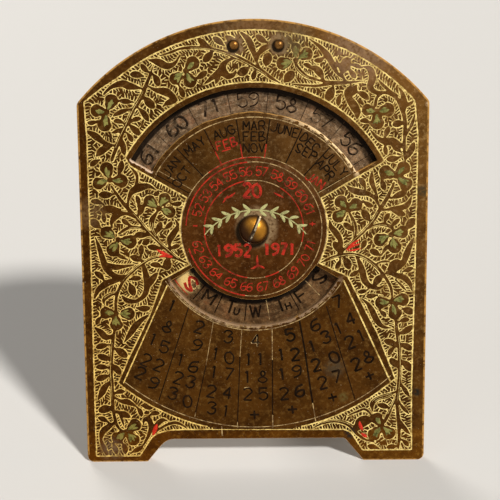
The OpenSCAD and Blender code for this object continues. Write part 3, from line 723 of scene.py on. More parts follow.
def read_grid(field, x, v):
    """The value of a field on the grid at points of the face."""
    fx = np.clip((x - grid_x[0]) / GRID, 0, len(grid_x) - 1.001)
    fv = np.clip((v - grid_v[0]) / GRID, 0, len(grid_v) - 1.001)
    i, j = fx.astype(int), fv.astype(int)
    a, b = fx - i, fv - j
    low = field[j, i] * (1 - a) + field[j, i + 1] * a
    return low * (1 - b) + (field[j + 1, i] * (1 - a) + field[j + 1, i + 1] * a) * b


def open_room(x, v):
    """How far points lie from the brass left standing and from the borders, whichever is nearer."""
    return np.minimum(read_grid(reserved, x, v), read_grid(panel, x, v))


panel = np.minimum(inside_loop(BORDER_OUT), -inside_loop(BORDER_IN))
for stem in STEMS:
    leave_standing(flowing(stem), 0.2)
for leaf in LEAVES:
    leave_standing(leaf_line(*leaf), 0.12)
for hub, *petals in FLOWERS:
    leave_standing(straight(hub, (hub[0] + 0.01, hub[1]), 0.8, 0.8), 0.2)
    for x, v, radius in petals:
        inward = np.array([hub[0] - x, hub[1] - v])
        inward = inward / math.hypot(*inward) * radius * 0.5
        leave_standing(straight((x, v), (x, v) + inward, radius, radius * 0.72), 0.1)
# Small leaves grow from the nearest stem into ground that would otherwise stay empty.
for _ in range(260):
    room = np.minimum(reserved, panel)
    room = np.where(room > 1.6, room + hand.uniform(0, 0.25, room.shape), 0)
    j, i = np.unravel_index(np.argmax(room), room.shape)
    clear = min(reserved[j, i], panel[j, i])
    if room[j, i] == 0:
        break
    away = np.array([reserved[j, i + 2] - reserved[j, i - 2], reserved[j + 2, i] - reserved[j - 2, i]])
    away = away / max(np.hypot(*away), 1e-6)
    away = turned_by(away, hand.choice((-1, 1)) * hand.uniform(0.35, 0.8))
    middle = np.array([grid_x[i], grid_v[j]])
    root = middle - away * min(reserved[j, i] + 0.1, 2.4)
    tip = middle + away * (clear - 0.45)
    leave_standing(leaf_line(*root, *tip, min(1.0, clear * 0.42), hand.uniform(-0.4, 0.4)), 0.2)
reserved -= 0.13


def edge_lines(field):
    """The lines along which a field on the grid is 0, followed from cell to cell."""
    below = field < 0
    code = below[:-1, :-1] + 2 * below[:-1, 1:] + 4 * below[1:, 1:] + 8 * below[1:, :-1].astype(int)
    crossing = {1: "30", 2: "01", 3: "31", 4: "12", 5: "3210", 6: "02", 7: "32",
                8: "23", 9: "20", 10: "0321", 11: "21", 12: "13", 13: "10", 14: "03"}
    follow = {}
    for j, i in zip(*(where.tolist() for where in np.nonzero((code > 0) & (code < 15)))):
        sides = ((j, i, 0), (j, i + 1, 1), (j + 1, i, 0), (j, i, 1))
        pair = crossing[int(code[j, i])]
        for a, b in zip(pair[::2], pair[1::2]):
            follow.setdefault(sides[int(a)], []).append(sides[int(b)])

    def on_edge(key):
        j, i, upright = key
        a, b = field[j, i], field[j + upright, i + 1 - upright]
        part = GRID * a / (a - b)
        return grid_x[i] + part * (1 - upright), grid_v[j] + part * upright

    lines = []
    while follow:
        start = key = next(iter(follow))
        line = [on_edge(key)]
        while key in follow:
            following = follow[key].pop()
            if not follow[key]:
                del follow[key]
            key = following
            line.append(on_edge(key))
            if key == start:
                break
        lines.append(np.array(line))
    return lines


def runs(line, keep):
    """The stretches of a line that are kept."""
    breaks = np.flatnonzero(np.diff(keep.astype(int))) + 1
    parts = zip(np.split(line, breaks), np.split(keep, breaks))
    return [part for part, kept in parts if kept[0] and len(part) > 3]


leaf_edges = []
for line in edge_lines(reserved):
    if len(line) < 10:
        continue
    for _ in range(2):
        line[1:-1] = line[1:-1] / 2 + (line[:-2] + line[2:]) / 4
    line = even_line(line, 0.32)
    leaf_edges += runs(line, read_grid(panel, line[:, 0], line[:, 1]) > 0.1)

TOOL_STEPS = np.arange(0.2, 3.2, 0.1)
TOOL_WIDTH = np.arange(-0.36, 0.37, 0.12)
cut_already = np.zeros(mesh_x.shape, bool)
cuts_made = []
painted_shade_between = []


def nearest_cell(x, v):
    """The grid's row and column nearest to points of the face."""
    return (np.rint((v - grid_v[0]) / GRID).astype(int).clip(0, len(grid_v) - 1),
            np.rint((x - grid_x[0]) / GRID).astype(int).clip(0, len(grid_x) - 1))


def cut_comb(line, slope, pitch):
    """Short strokes side by side up a slope, from along a line: across a narrow gap or part of the way
    into a wide one."""
    slope_v, slope_x = slope
    outward = np.c_[read_grid(slope_x, *line.T), read_grid(slope_v, *line.T)]
    run = run_along(line)
    at = hand.uniform(0, pitch)
    slant = hand.choice((-1, 1)) * hand.uniform(0.1, 0.65)
    while at < run[-1]:
        x, v = root = np.array([np.interp(at, run, line[:, 0]), np.interp(at, run, line[:, 1])])
        way = outward[np.searchsorted(run, at)]
        way = turned_by(way / max(np.hypot(*way), 1e-6), slant + hand.uniform(-0.14, 0.14))
        at += pitch * hand.uniform(0.85, 1.15)
        path = (x + way[0] * TOOL_STEPS, v + way[1] * TOOL_STEPS)
        open_ground = open_room(*path) > 0.02
        gap = 9 if open_ground.all() else TOOL_STEPS[np.argmin(open_ground)]
        across_gap = gap < 1.5
        length = gap if across_gap else min(hand.uniform(1.0, 1.6), 0.72 * gap)
        crossed = cut_already[nearest_cell(*path)] & (TOOL_STEPS <= length)
        if crossed.any():
            length = TOOL_STEPS[np.argmax(crossed)] - 0.12
            across_gap = False
        if gap < 0.5 or length < 0.45:
            continue
        q = np.arange(0, length, 0.1)
        for beside in TOOL_WIDTH:
            strip = (x + way[0] * q - way[1] * beside, v + way[1] * q + way[0] * beside)
            cut_already[nearest_cell(*strip)] = True
        width = hand.uniform(0.115, 0.155)
        cuts_made.append(straight(root, root + way * length, width, width * (0.95 if across_gap else 0.5)))
        # Most cuts get a dark stroke beside them, halfway to the next: painted shade in the gaps between the
        # cuts.
        if hand.uniform(0, 1) < 0.8:
            between = root + np.array([way[1], -way[0]]) * pitch / 2
            painted_shade_between.append(straight(between + way * 0.1, between + way * length * 0.75, 0.1, 0.05))


border_lines = [even_line(np.vstack([loop, loop[:1]]), 0.5) for loop in (BORDER_OUT, BORDER_IN)]
for edges, field, pitch in ((border_lines, panel, 0.88), (leaf_edges, reserved, 0.82)):
    slope = np.gradient(field, GRID)
    for line in edges:
        cut_comb(line, slope, pitch)


def fill_strokes(name, strokes, material, slot="patinated_brass", body="face", proud=0.05, depth=0.0,
                 sides=0):
    """Strokes of filling, each a row of across, up and half width, low and rounded on the surface."""
    data = bpy.data.curves.new(name, "CURVE")
    data.dimensions = "3D"
    data.twist_mode = "Z_UP"
    data.bevel_depth = 1
    data.bevel_resolution = sides
    data.use_fill_caps = True
    for stroke in strokes:
        closed = len(stroke) > 3 and np.hypot(*(stroke[0] - stroke[-1])[:2]) < 0.01
        points = stroke[:-1] if closed else stroke
        add_line(data, points, closed).points.foreach_set("radius", points[:, 2].copy())
    mesh = bpy.data.meshes.new_from_object(bpy.data.objects.new(name + "_strokes", data))
    mesh.transform(Matrix.Translation((0, 0, -depth)) @ Matrix.Scale(proud * 4, 4, (0, 0, 1)))
    finish_piece(name, mesh, material, slot, body, sharp=80)


def lacquer(name, dark, full, wear):
    """Lacquer filling: uneven in tone, dirtier in places, and worn through here and there."""
    material, tree, shader = new_material(name, Specular_IOR_Level=0.08)
    place = face_place(tree)
    colour = tint(tree, patchy(tree, place, 0.5, 0.34, 0.6, 6, 0.7), dark, full)
    colour = wash(tree, colour, [c * 0.45 for c in dark], patchy(tree, place, 1.5, 0.54, 0.64), 0.7)
    # Painted shade: the filling is darker towards the lower left, away from the light.
    lacquer_shade_lower_left = fade(tree, slanting(tree, face_axes(tree, place), 1, 0.7), 0, -80)
    colour = tint(tree, lacquer_shade_lower_left, colour, (0.93, 0.83, 0.66), "MULTIPLY")
    worn = patchy(tree, place, 0.6, 0.70 - wear, 0.76 - wear, 6, 0.72)
    for across, up, inner, outer in (
            (9, 52.2, 2.5, 7.5), (-43.5, 6.3, 1, 5), (-42, -64.5, 1.5, 7), (46, -48, 0.5, 2)):
        patch = product(tree, spot(tree, place, across, up, inner, outer),
                        patchy(tree, place, 1.1, 0.40, 0.54, 5, 0.7), 0.85)
        worn = number(tree, "MAXIMUM", worn, patch)
    colour = tint(tree, worn, colour, (0.13, 0.078, 0.028))
    relief = number(tree, "SUBTRACT", cloud(tree, place, 3.5, 3), worn)
    dress(tree, shader, colour, number(tree, "MULTIPLY_ADD", worn, 0.15, 0.5), relief, 0.00002)
    return material


yellow_lacquer = lacquer("yellow_lacquer", (0.27, 0.155, 0.033), (0.84, 0.64, 0.225), 0.0)
outlines = [np.c_[line, 0.12 + 0.06 * np.convolve(hand.normal(0, 1, len(line)), np.ones(4) / 4, "same")]
            for line in leaf_edges]
for line, other, kept in ((border_lines[0], BORDER_IN, 0), (border_lines[1], BORDER_OUT, 0.75)):
    other = even_line(other, 0.3)
    space = np.hypot(line[:, :1] - other[:, 0], line[:, 1:] - other[:, 1]).min(1)
    line = line + hand.normal(0, 0.03, line.shape)
    line[-1] = line[0]
    outlines += runs(np.c_[line, np.where(space < 0.75, 0.11, 0.19)], space >= kept)
# A fine line along each longer stem parts it into strands, which run together towards its tip.
for stem in STEMS:
    line = flowing(stem)
    if line[:, 2].max() > 0.75 or len(line) < 12:
        continue
    side = np.gradient(line[:, :2], axis=0)[:, ::-1] * (-1, 1)
    side /= np.maximum(np.hypot(*side.T), 1e-6)[:, None]
    for share in (-0.4, 0.4) if line[:, 2].mean() > 0.5 else (hand.choice((-0.3, 0.3)),):
        if line[:, 2].mean() < 0.36:
            continue
        split = line[:, :2] + side * (line[:, 2:] + 0.1) * share
        first, last = len(line) // 8, int(len(line) * hand.uniform(0.6, 0.8))
        taper = np.sin(np.linspace(0.3, math.pi - 0.2, last - first)) ** 0.5
        outlines.append(np.c_[split[first:last], 0.07 * taper])


def clear_of_rivets(line):
    """True for the points that lie outside the rings scraped bare when the rivets were set."""
    scraped = ((-5.1, 51.3, 2.1), (7.3, 51.5, 2.5))
    return np.min([np.hypot(line[:, 0] - x, line[:, 1] - v) - reach for x, v, reach in scraped], axis=0) > 0


outlines = [part for line in outlines for part in runs(line, clear_of_rivets(line))]
cuts_made = [cut for cut in cuts_made if clear_of_rivets(cut).all()]
painted_shade_between = [cut for cut in painted_shade_between
                if clear_of_rivets(cut).all() and (open_room(*cut.T[:2]) > 0.05).all()]
fill_strokes("yellow_outlines", outlines, yellow_lacquer)
fill_strokes("yellow_hatching", cuts_made, yellow_lacquer)


def two_toned(name, patches, first, second, rough, rougher, depth, **shader_values):
    """A finish with patches of a second colour, which are rougher by some amount and a little proud."""
    material, tree, shader = new_material(name, **shader_values)
    over = patchy(tree, face_place(tree), *patches)
    dress(tree, shader, tint(tree, over, first, second), number(tree, "MULTIPLY_ADD", over, rougher, rough),
          over, depth)
    return material


# Near-black strokes between the yellow cuts are painted shade in the gaps of the engraving.
cut_shadow = two_toned("painted_shade_in_the_cuts", (0.8, 0.35, 0.65), (0.010, 0.005, 0.0015), (0.034, 0.015, 0.0035),
                       0.6, 0.2, 0.00001, Specular_IOR_Level=0.03)
fill_strokes("dark_between_cuts", painted_shade_between, cut_shadow, proud=0.02)


def painted_leaf(x0, v0, x1, v1, width):
    """A drop of enamel drawn out to a point at both ends."""
    t = np.array([0, 0.12, 0.3, 0.5, 0.7, 0.88, 1])
    full = np.array([0.25, 0.6, 0.9, 1, 0.95, 0.6, 0.15]) * width
    bend = hand.uniform(-0.12, 0.12)
    across = np.array([v0 - v1, x1 - x0])
    return np.c_[np.array([x0, v0]) + np.array([x1 - x0, v1 - v0]) * t[:, None]
                 + across * (bend * np.sin(math.pi * t))[:, None], full]


green_enamel = lacquer("green_enamel", (0.070, 0.070, 0.017), (0.235, 0.215, 0.058), 0.05)
green_spots = []
for hub, *petals in FLOWERS:
    for x, v, _ in petals:
        middle = np.array([x, v])
        inward = (hub - middle) / 1.9
        sideways = np.array([-inward[1], inward[0]])
        green_spots.append(painted_leaf(*(middle + inward * 1.45), *(middle - inward * 0.35),
                                        hand.uniform(0.42, 0.62)))
        for side in (-1, 1):
            reach = hand.uniform(0.2, 0.75)
            tip = middle + inward * (0.5 - reach) + side * sideways * reach
            green_spots.append(painted_leaf(*(middle + inward * 1.1), *tip, hand.uniform(0.26, 0.4)))
fill_strokes("green_petal_spots", green_spots, green_enamel, proud=0.04, sides=2)

red_enamel = lacquer("red_enamel", (0.36, 0.022, 0.010), (0.62, 0.035, 0.016), 0.0)
RED_LEAVES = ((-23.1, -7.7, -27.6, -5.5, 0.5), (-23.4, -7.9, -27.0, -7.6, 0.42),
              (26.0, -6.3, 29.9, -3.1, 0.34), (26.2, -6.1, 30.2, -4.3, 0.3), (26.4, -6.3, 30.4, -5.5, 0.26),
              (-29.9, -60.4, -28.6, -57.0, 0.6), (30.2, -56.6, 31.2, -59.4, 0.5),
              (30.7, -60.2, 32.5, -61.5, 0.5))
fill_strokes("red_leaves", [painted_leaf(*leaf) for leaf in RED_LEAVES], red_enamel, proud=0.07, sides=2)

# Dial markings: cut with a graver straight into the front sheet and filled. Months and dates are
# black, the leap-year months and the ring are red, and the fine scribed lines have worn to brass.
# A sign is drawn on a grid 4 wide and 6 high, stroke by stroke; ~ starts a curved stroke.
SIGNS = {
    "0": "~26 05 02 20 41 44 26", "1": "15 26/26 20", "2": "~05 16 36 45 44 22 00/00 40",
    "3": "~05 16 36 45 34 23/~23 43 41 20 01", "4": "30 36/36 02/02 42",
    "5": "46 06/06 03/~03 24 43 41 20 01", "6": "~46 15 03 01 20 41 43 23 02", "7": "06 46/46 10",
    "8": "~23 14 15 26 35 34 23/~23 02 01 20 41 42 23", "9": "~00 31 43 45 26 05 04 23 44",
    "A": "00 26/26 40/12 32", "B": "00 06/~06 36 35 23/03 23/~23 42 41 20 00", "C": "~45 26 05 02 20 41",
    "D": "00 06/~06 26 44 42 20 00", "E": "46 06/06 00/00 40/03 33", "F": "46 06/06 00/03 33",
    "G": "~45 26 05 02 20 41 43/43 23", "H": "06 00/46 40/03 43", "J": "46 41/~41 30 10 01",
    "L": "06 00/00 40", "M": "00 06/06 22/22 46/46 40", "N": "00 06/06 40/40 46",
    "O": "~26 05 02 20 41 44 26", "P": "00 06/~06 36 44 33 03", "R": "00 06/~06 36 44 33 03/23 40",
    "S": "~45 26 05 04 22 41 20 01", "T": "06 46/26 20", "U": "06 02/~02 10 30 42/42 46",
    "V": "06 20/20 46", "W": "06 10/10 25/25 30/30 46", "Y": "06 23/46 23/23 20", "+": "03 43/21 25",
    "-": "13 33",
}


def polar(reach, angle):
    """The point of the face at this reach and this angle in degrees from the middle of the dial."""
    turn = math.radians(angle)
    return reach * math.cos(turn), reach * math.sin(turn)


def letters(word, across, up, turn, tall, wide, half, gap=0):
    """The strokes of a word, centred on a point of the face and turned by degrees."""
    made = []
    for k, sign in enumerate(word):
        middle = (k - (len(word) - 1) / 2) * (wide + gap) + hand.uniform(-0.05, 0.05)
        shift_x, shift_v = polar(middle, turn)
        tilt = math.radians(turn + hand.uniform(-2, 2))
        for stroke in SIGNS[sign].split("/"):
            grid = [(int(at[0]) / 4 - 0.5, int(at[1]) / 6 - 0.5) for at in stroke.strip("~").split()]
            flat = np.array([(x * wide, v * tall, half) for x, v in grid])
            flat[:, :2] += hand.normal(0, 0.03, (len(flat), 2))
            if stroke[0] == "~":
                if grid[0] == grid[-1]:
                    flat[-1] = flat[0]
                flat = flowing(flat, 0.3)
            x, v = turned_by(flat.T, tilt)
            width = flat[:, 2] * hand.uniform(0.85, 1.15)
            made.append(np.c_[x + (across + shift_x), v + (up + shift_v), width])
    return made


def scribed(half, *points):
    """A scribed line of one half width through points of the face."""
    return np.c_[np.array(points, float), np.full(len(points), half)]


def ring(radius, start, end, half):
    """A scribed arc round the middle of the dial."""
    return scribed(half, *arc_points(0, 0, radius, start, end))


def spoke(angle, start, end, half):
    """A scribed line straight out from the middle of the dial."""
    return scribed(half, polar(start, angle), polar(end, angle))


black_fill, tree, shader = new_material("black_fill", Specular_IOR_Level=0.03)
place = face_place(tree)
chalk = patchy(tree, place, 2.2, 0.62, 0.74, 5, 0.75)
colour = tint(tree, patchy(tree, place, 0.4, 0.35, 0.65), (0.004, 0.002, 0.0008), (0.013, 0.0065, 0.0028))
colour = wash(tree, colour, (0.13, 0.10, 0.07), chalk, 0.6)
dress(tree, shader, colour, number(tree, "MULTIPLY_ADD", chalk, 0.3, 0.45), chalk, 0.00002)
worn_line = two_toned("worn_scribing", (0.5, 0.42, 0.58, 6, 0.75), (0.11, 0.060, 0.020), (0.50, 0.34, 0.14),
                      0.55, -0.15, 0.00001, Metallic=0.3, Specular_IOR_Level=0.4)

BLACK_MONTHS = (
    ("JAN", -23.1, 17.7, 54), ("OCT", -20.1, 15.1, 52), ("MAY", -16.3, 23.8, 35), ("AUG", -8.2, 27.5, 18),
    ("MAR", 0.25, 29.3, 0), ("FEB", 0.25, 26.3, 0), ("NOV", 0.25, 23.1, 0), ("JUNE", 8.8, 28.1, -17),
    ("DEC", 15.9, 24.4, -42), ("SEP", 14.8, 21.8, -29), ("JULY", 23, 18.6, -49), ("APR", 20.1, 16.8, -52))
black_marks = []
for word, x, v, turn in BLACK_MONTHS:
    black_marks += letters(word, x, v, turn, 2.5, 1.5 if word == "JUNE" else 1.65, 0.2, 0.55)
red_marks = letters("FEB", -7.5, 24.3, 15, 2.4, 1.5, 0.18, 0.6)
red_marks += letters("JAN", 17.3, 13.9, -36, 2.4, 1.5, 0.18, 0.5)
red_marks.append(scribed(0.17, (-8.8, 22.2), (-6.3, 22.9)))
# Each column of the date table: the tilt of its numbers, then each sign's across and up.
DATES = (
    (-24, ("1", -23.5, -21.9), ("8", -24.9, -28), ("1", -29.2, -31.7), ("5", -26, -34), ("2", -31.4, -37.8),
     ("2", -27.7, -39.4), ("2", -33.1, -41.7), ("9", -29.2, -44.7)),
    (-17, ("2", -16, -28.2), ("9", -16.6, -33.6), ("1", -21.4, -37.8), ("6", -17.7, -39.8),
     ("2", -22.2, -43.2), ("3", -18.7, -44.4), ("3", -23.9, -47.8), ("0", -19.6, -50.2)),
    (-8, ("3", -7.7, -31.1), ("1", -11.2, -36.1), ("0", -7.4, -37.3), ("1", -11.8, -41.5), ("7", -7.5, -42.2),
     ("2", -12.7, -47.3), ("4", -8.1, -47.8), ("3", -12.7, -52.3), ("1", -8.5, -53.2)),
    (0, ("4", 0.25, -32.2), ("1", -1.8, -37.8), ("1", 1.6, -37.8), ("1", -2.2, -43), ("8", 2.2, -43),
     ("2", -2.2, -48.2), ("5", 2.3, -48.2), ("+", -0.3, -54.4)),
    (8, ("5", 10.1, -30.7), ("1", 7.6, -36.5), ("2", 11.5, -36.5), ("1", 7.8, -42.3), ("9", 12.1, -41.5),
     ("2", 8.3, -48.2), ("6", 12.8, -47.3), ("+", 10.8, -52.9)),
    (15, ("6", 17.3, -27.8), ("1", 16.5, -34), ("3", 20.2, -31.5), ("2", 17.6, -39.7), ("0", 22.8, -37.3),
     ("2", 19.4, -45), ("7", 23.6, -43.2), ("+", 22.3, -49.4)),
    (23, ("7", 23.8, -21.1), ("1", 24, -28.8), ("4", 27.3, -26.1), ("2", 27.3, -33), ("1", 30.5, -31),
     ("2", 29.1, -39.6), ("8", 32.5, -37.3), ("+", 33, -43)))
for turn, *signs in DATES:
    for sign, x, v in signs:
        tall, wide = (3.7, 2.6) if sign == "+" else (3.5, 2.3)
        black_marks += letters(sign, x, v, turn, tall, wide, 0.3 if x > 5 else 0.25)
for line in (
        (0.26, (12.8, -26.5), (14.3, -35), (15.7, -45), (16.6, -51)),
        (0.15, (20.5, -22.3), (24.6, -36), (28.8, -49.9)), (0.15, (-18.8, -22.3), (-27.9, -49.9)),
        (0.14, (-14.1, -39.5), (-17.3, -53.6)), (0.14, (-4.3, -37), (-5.2, -56.5)),
        (0.16, (5, -38), (5, -54.5))):
    black_marks.append(scribed(*line))
# The months stand in seven sectors; the inner ends of three of the lines between them are red.
for k in range(8):
    start = 24.5 if k in (3, 4, 5) else 20.8
    black_marks.append(spoke(30 + 17.14 * k, start, 31.4, 0.13 if k in (0, 7) else 0.17))
fill_strokes("black_markings", black_marks, black_fill)

# The legend in the middle of the dial is a ring of years between two scribed circles.
LEGEND_IN, LEGEND_REACH, LEGEND_OUT = 14, 16.6, 19.2
for years, start, step, upright in ((range(52, 62), 160, -15.6, -90), (range(62, 72), 197, 16.3, 90)):
    for k, year in enumerate(years):
        angle = start + k * step
        red_marks += letters(str(year), *polar(LEGEND_REACH, angle), angle + upright, 2.5, 1.4, 0.15, 0.45)
for marking in (
        ("+", 16.5, 1.5, 0, 1.7, 1.7, 0.18), ("-", -16.6, 1.2, 0, 2, 2.6, 0.2),
        ("20", -0.5, 11.1, 0, 3.8, 2.0, 0.40, 0.8), ("1952", -5.9, -6.0, 0, 3.3, 1.75, 0.38, 0.9),
        ("1971", 7.2, -5.7, 0, 3.2, 1.6, 0.37, 0.8)):
    red_marks += letters(*marking)
for arc in (
        (LEGEND_IN, 100, 262, 0.17), (LEGEND_IN, 283, 300, 0.17), (LEGEND_IN, 345, 418, 0.15),
        (LEGEND_OUT, 95, 176, 0.17), (LEGEND_OUT, 196, 262, 0.19), (20.5, 84, 128, 0.17)):
    red_marks.append(ring(*arc))
for angle, end in ((115.7, 28.2), (98.6, 24.4), (81.4, 24.4)):
    red_marks.append(spoke(angle, 20.6, end, 0.17))
for leaf in (
        (0.9, -7.4, 1.1, -11.0, 0.32), (1.0, -10.2, 3.0, -11.2, 0.3), (1.0, -10.2, -1.0, -11.2, 0.3),
        (-8.3, 8.9, -5.2, 10.6, 0.3), (-8.8, 7.6, -7.3, 9.8, 0.22), (8.4, 9.0, 5.6, 10.5, 0.26)):
    red_marks.append(painted_leaf(*leaf))
red_filling = lacquer("red_filling", (0.13, 0.013, 0.007), (0.42, 0.024, 0.011), 0.10)
fill_strokes("red_markings", red_marks, red_filling)

# A spray of small leaves, in pairs along a bowed stem, fills the upper half of the legend.
SPRAY_ACROSS, SPRAY_UP, SPRAY_RADIUS = 0.4, -12.6, 18.2
pale_green = lacquer("pale_green_enamel", (0.26, 0.25, 0.10), (0.44, 0.42, 0.18), 0.04)
spray = []
for side in (-1, 1):
    for k in range(5):
        out = np.array(polar(1, 90 - side * (4 + 9.2 * k)))
        along = side * np.array([out[1], -out[0]])
        root = (SPRAY_ACROSS, SPRAY_UP) + SPRAY_RADIUS * out
        for reach in (1.9, -1.6):
            spray.append(painted_leaf(*root, *(root + along * 2.1 + out * reach), 0.42))
spray.append(scribed(0.16, *arc_points(SPRAY_ACROSS, SPRAY_UP, SPRAY_RADIUS, 38, 142)))
fill_strokes("pale_spray", spray, pale_green, sides=1)

fine_lines = [ring(*arc) for arc in (
    (LEGEND_OUT, 262, 455, 0.11), (LEGEND_IN, 0, 360, 0.1), (20.6, 330.5, 570.5, 0.1), (31.7, 30, 150, 0.12),
    (29.2, 210, 330, 0.11), (58.1, 229.8, 312.3, 0.11), (32.4, 33, 60, 0.08), (28.8, 214, 262, 0.07),
    (28.4, 222, 284, 0.06), (28.6, 300, 322, 0.06))]
fine_lines += [scribed(*line) for line in (
    (0.075, (-11.8, -26.5), (-14.1, -39.5)), (0.1, (-17.3, -53.6), (-17.6, -55)),
    (0.08, (-3.7, -28.8), (-4.3, -37)), (0.1, (-5.2, -56.5), (-5.3, -58.2)), (0.12, (5, -28.6), (5, -38)),
    (0.16, (5, -54.5), (5, -58.4)), (0.12, (16.6, -51), (17.5, -56.5)), (0.1, (-17.9, 10.3), (-27.3, 15.8)),
    (0.12, (18.1, 10.3), (27.5, 15.8)), (0.07, (-17.2, 11.4), (-26.6, 16.9)),
    (0.15, (-9.8, -57.9), (-9.7, -60.7)), (0.16, (-3.1, -46.3), (-1.6, -46.2)))]
fine_lines += letters("4", 0.1, -32.35, 0, 3.5, 2.3, 0.24)
fill_strokes("scribed_lines", fine_lines, worn_line, proud=0.025)
table_frame = [scribed(0.17, (-24.8, -15.9), (-38, -44.6)), scribed(0.2, (25.4, -14.9), (39.1, -44.9))]
fill_strokes("date_table_frame", table_frame, yellow_lacquer)

# Calendar disc: 1 mm sheet brass, turned true and wiped with tin, which has dulled and worn through
# to copper-brown. Years and weekdays are cut right round it, so a full turn brings each one up.
DISC_FRONT, DISC_BACK = 2.95, 3.95
DISC_BORE, DISC_RADIUS = 3.7, 43
PLACES = 21
ONE_PLACE = 360 / PLACES


def turned(profile, steps=96, closed=True):
    """A profile of radius and height, turned about the dial's axis."""
    bm = bmesh.new()
    corners = [bm.verts.new((radius, 0, height)) for radius, height in profile]
    rim = [bm.edges.new(pair) for pair in zip(corners, corners[1:] + (corners[:1] if closed else []))]
    bmesh.ops.spin(bm, geom=corners + rim, axis=(0, 0, 1), cent=(0, 0, 0), angle=math.tau, steps=steps,
                   use_merge=True)
    bmesh.ops.remove_doubles(bm, verts=bm.verts, dist=MERGE)
    return mesh_from(bm, "turned")


def eased_ring(inner, outer, front, back, ease):
    """The profile of a flat ring whose four edges are eased."""
    return [(inner, -front - ease), (inner + ease, -front), (outer - ease, -front), (outer, -front - ease),
            (outer, -back + ease), (outer - ease, -back), (inner + ease, -back), (inner, -back + ease)]


tinned, tree, shader = new_material("tinned_brass", Metallic=0.12, Specular_IOR_Level=0.06)
place = face_place(tree)
metal = use_aged(tree, place, (0.085, 0.048, 0.022), (0.185, 0.112, 0.058), (0.30, 0.21, 0.125), 0.9, 1.0)
copper = patchy(tree, place, 0.22, 0.53, 0.66, 6, 0.7)
colour = wash(tree, metal["Colour"], (0.25, 0.115, 0.055), copper, 0.45)
turning = apart_from(tree, place, 0, 0, -DISC_FRONT)
ringed = add_node(tree, "ShaderNodeTexNoise", {"W": turning, "Scale": 3.2, "Detail": 4},
                  noise_dimensions="1D").outputs["Fac"]
colour = wash(tree, colour, (0.33, 0.25, 0.165), fade(tree, ringed, 0.52, 0.7), 0.35)
front_side = fade(tree, face_axes(tree, place)["Z"], -3.3, -3.1)
weekday_ring = product(tree, fade(tree, turning, 31, 29.5), front_side)
colour = tint(tree, weekday_ring, colour, (0.57, 0.47, 0.34), "MULTIPLY")
mottle = patchy(tree, place, 0.8, 0.36, 0.64, 6, 0.7)
colour = shade(tree, colour, number(tree, "MULTIPLY_ADD", mottle, 0.75, 0.6))
# The grounds of the three Sundays keep their pale yellow filling.
for angle in (219.2, 339.2, 99.2):
    colour = wash(tree, colour, (0.72, 0.52, 0.20), spot(tree, place, *polar(24, angle), 3.4, 5.2),
                  patchy(tree, place, 0.45, 0.44, 0.50, 5, 0.7), front_side, 0.9)
# Painted shadow: two near-black rings on the disc, under the upper edges of the plate's windows, where the
# plate's shadow falls on it.
for clean, painted_shade in ((38.4, 39.1), (22.9, 22.1)):
    wavering = number(tree, "ADD", turning, product(tree, cloud(tree, place, 0.5), 0.8))
    colour = wash(tree, colour, (0.006, 0.003, 0.0015), fade(tree, wavering, clean, painted_shade), front_side, 0.96)
worn_tin = tint(tree, patchy(tree, place, 0.1, 0.38, 0.62), (0.27, 0.205, 0.14), (0.36, 0.30, 0.225))
worn_tin = wash(tree, worn_tin, (0.23, 0.165, 0.10), fade(tree, ringed, 0.45, 0.7), 0.5)
colour = wash(tree, colour, worn_tin, number(tree, "SUBTRACT", 1, front_side), 0.85)
relief = number(tree, "ADD", metal["Height"], product(tree, ringed, 0.5))
dress(tree, shader, colour, metal["Rough"], relief, 0.00004)
disc_mesh = turned(eased_ring(DISC_BORE, DISC_RADIUS, DISC_FRONT, DISC_BACK, 0.12), 160)
finish_piece("calendar_plate", disc_mesh, tinned, "tinned_brass", "disc", "calendar_disc")
worn_black = two_toned("worn_black", (0.55, 0.49, 0.66, 6, 0.75), (0.012, 0.007, 0.004),
                       (0.105, 0.066, 0.036), 0.5, 0.2, 0.00002, Specular_IOR_Level=0.03)
YEARS = ("52", "53", "54", "55", "", "56", "57", "58", "59", "71", "60", "61", "62", "63", "69", "64", "65",
         "66", "67", "70", "68")
TOP_PLACE = 8
HEAVY_YEARS, LIGHT_YEARS = ("60", "61", "71"), ("59", "57")
year_marks, day_marks, sunday_marks, pale_marks = [], [], [], []
for k, year in enumerate(YEARS):
    angle = 92.2 + ONE_PLACE * (k - TOP_PLACE)
    half = 0.31 if year in HEAVY_YEARS else 0.19 if year in LIGHT_YEARS else 0.25
    year_marks += letters(year, *polar(36.3, angle), angle - 90, 3.9, 2.4, half, 0.9)
    year_marks.append(spoke(angle + ONE_PLACE / 2, 33.2, 39.6, 0.1))
# Each weekday: its name, how far it stands aside, its reach, and how far its dividing line stands aside.
WEEK = (("W", 0, 24.3, 0), ("TH", 0.6, 23.8, 1.8), ("F", 0, 23.8, 0), ("S", 0.3, 23.6, 0),
        ("S", 2.6, 24.2, 1.7), ("M", 0.7, 23.9, 0), ("TU", -0.1, 24.0, 1.9))
SUNDAY = 4
for k in range(PLACES):
    day, aside, reach, line_aside = WEEK[k % 7]
    sunday = k % 7 == SUNDAY
    start = 270.6 + ONE_PLACE * k
    angle = start + aside
    made = letters(day[0], *polar(reach, angle), angle - 270, 3.7, 2.3 if len(day) == 2 else 3.1,
                   0.38 if sunday else 0.29)
    if len(day) == 2:
        made += letters(day[1], *polar(24.8, angle + 4.6), angle - 270, 2.0, 1.4, 0.26)
    if sunday:
        sunday_marks += made + [ring(27.2, start - 7, start + 6, 0.14), spoke(start - 7.4, 24.4, 27, 0.14)]
    else:
        day_marks += made
    if k % 7 in (0, 2):
        pale_marks.append(spoke(start + ONE_PLACE / 2, 21.3, 27.2, 0.12))
    else:
        day_marks.append(spoke(start + ONE_PLACE / 2 + line_aside, 21.3, 27.2, 0.17))
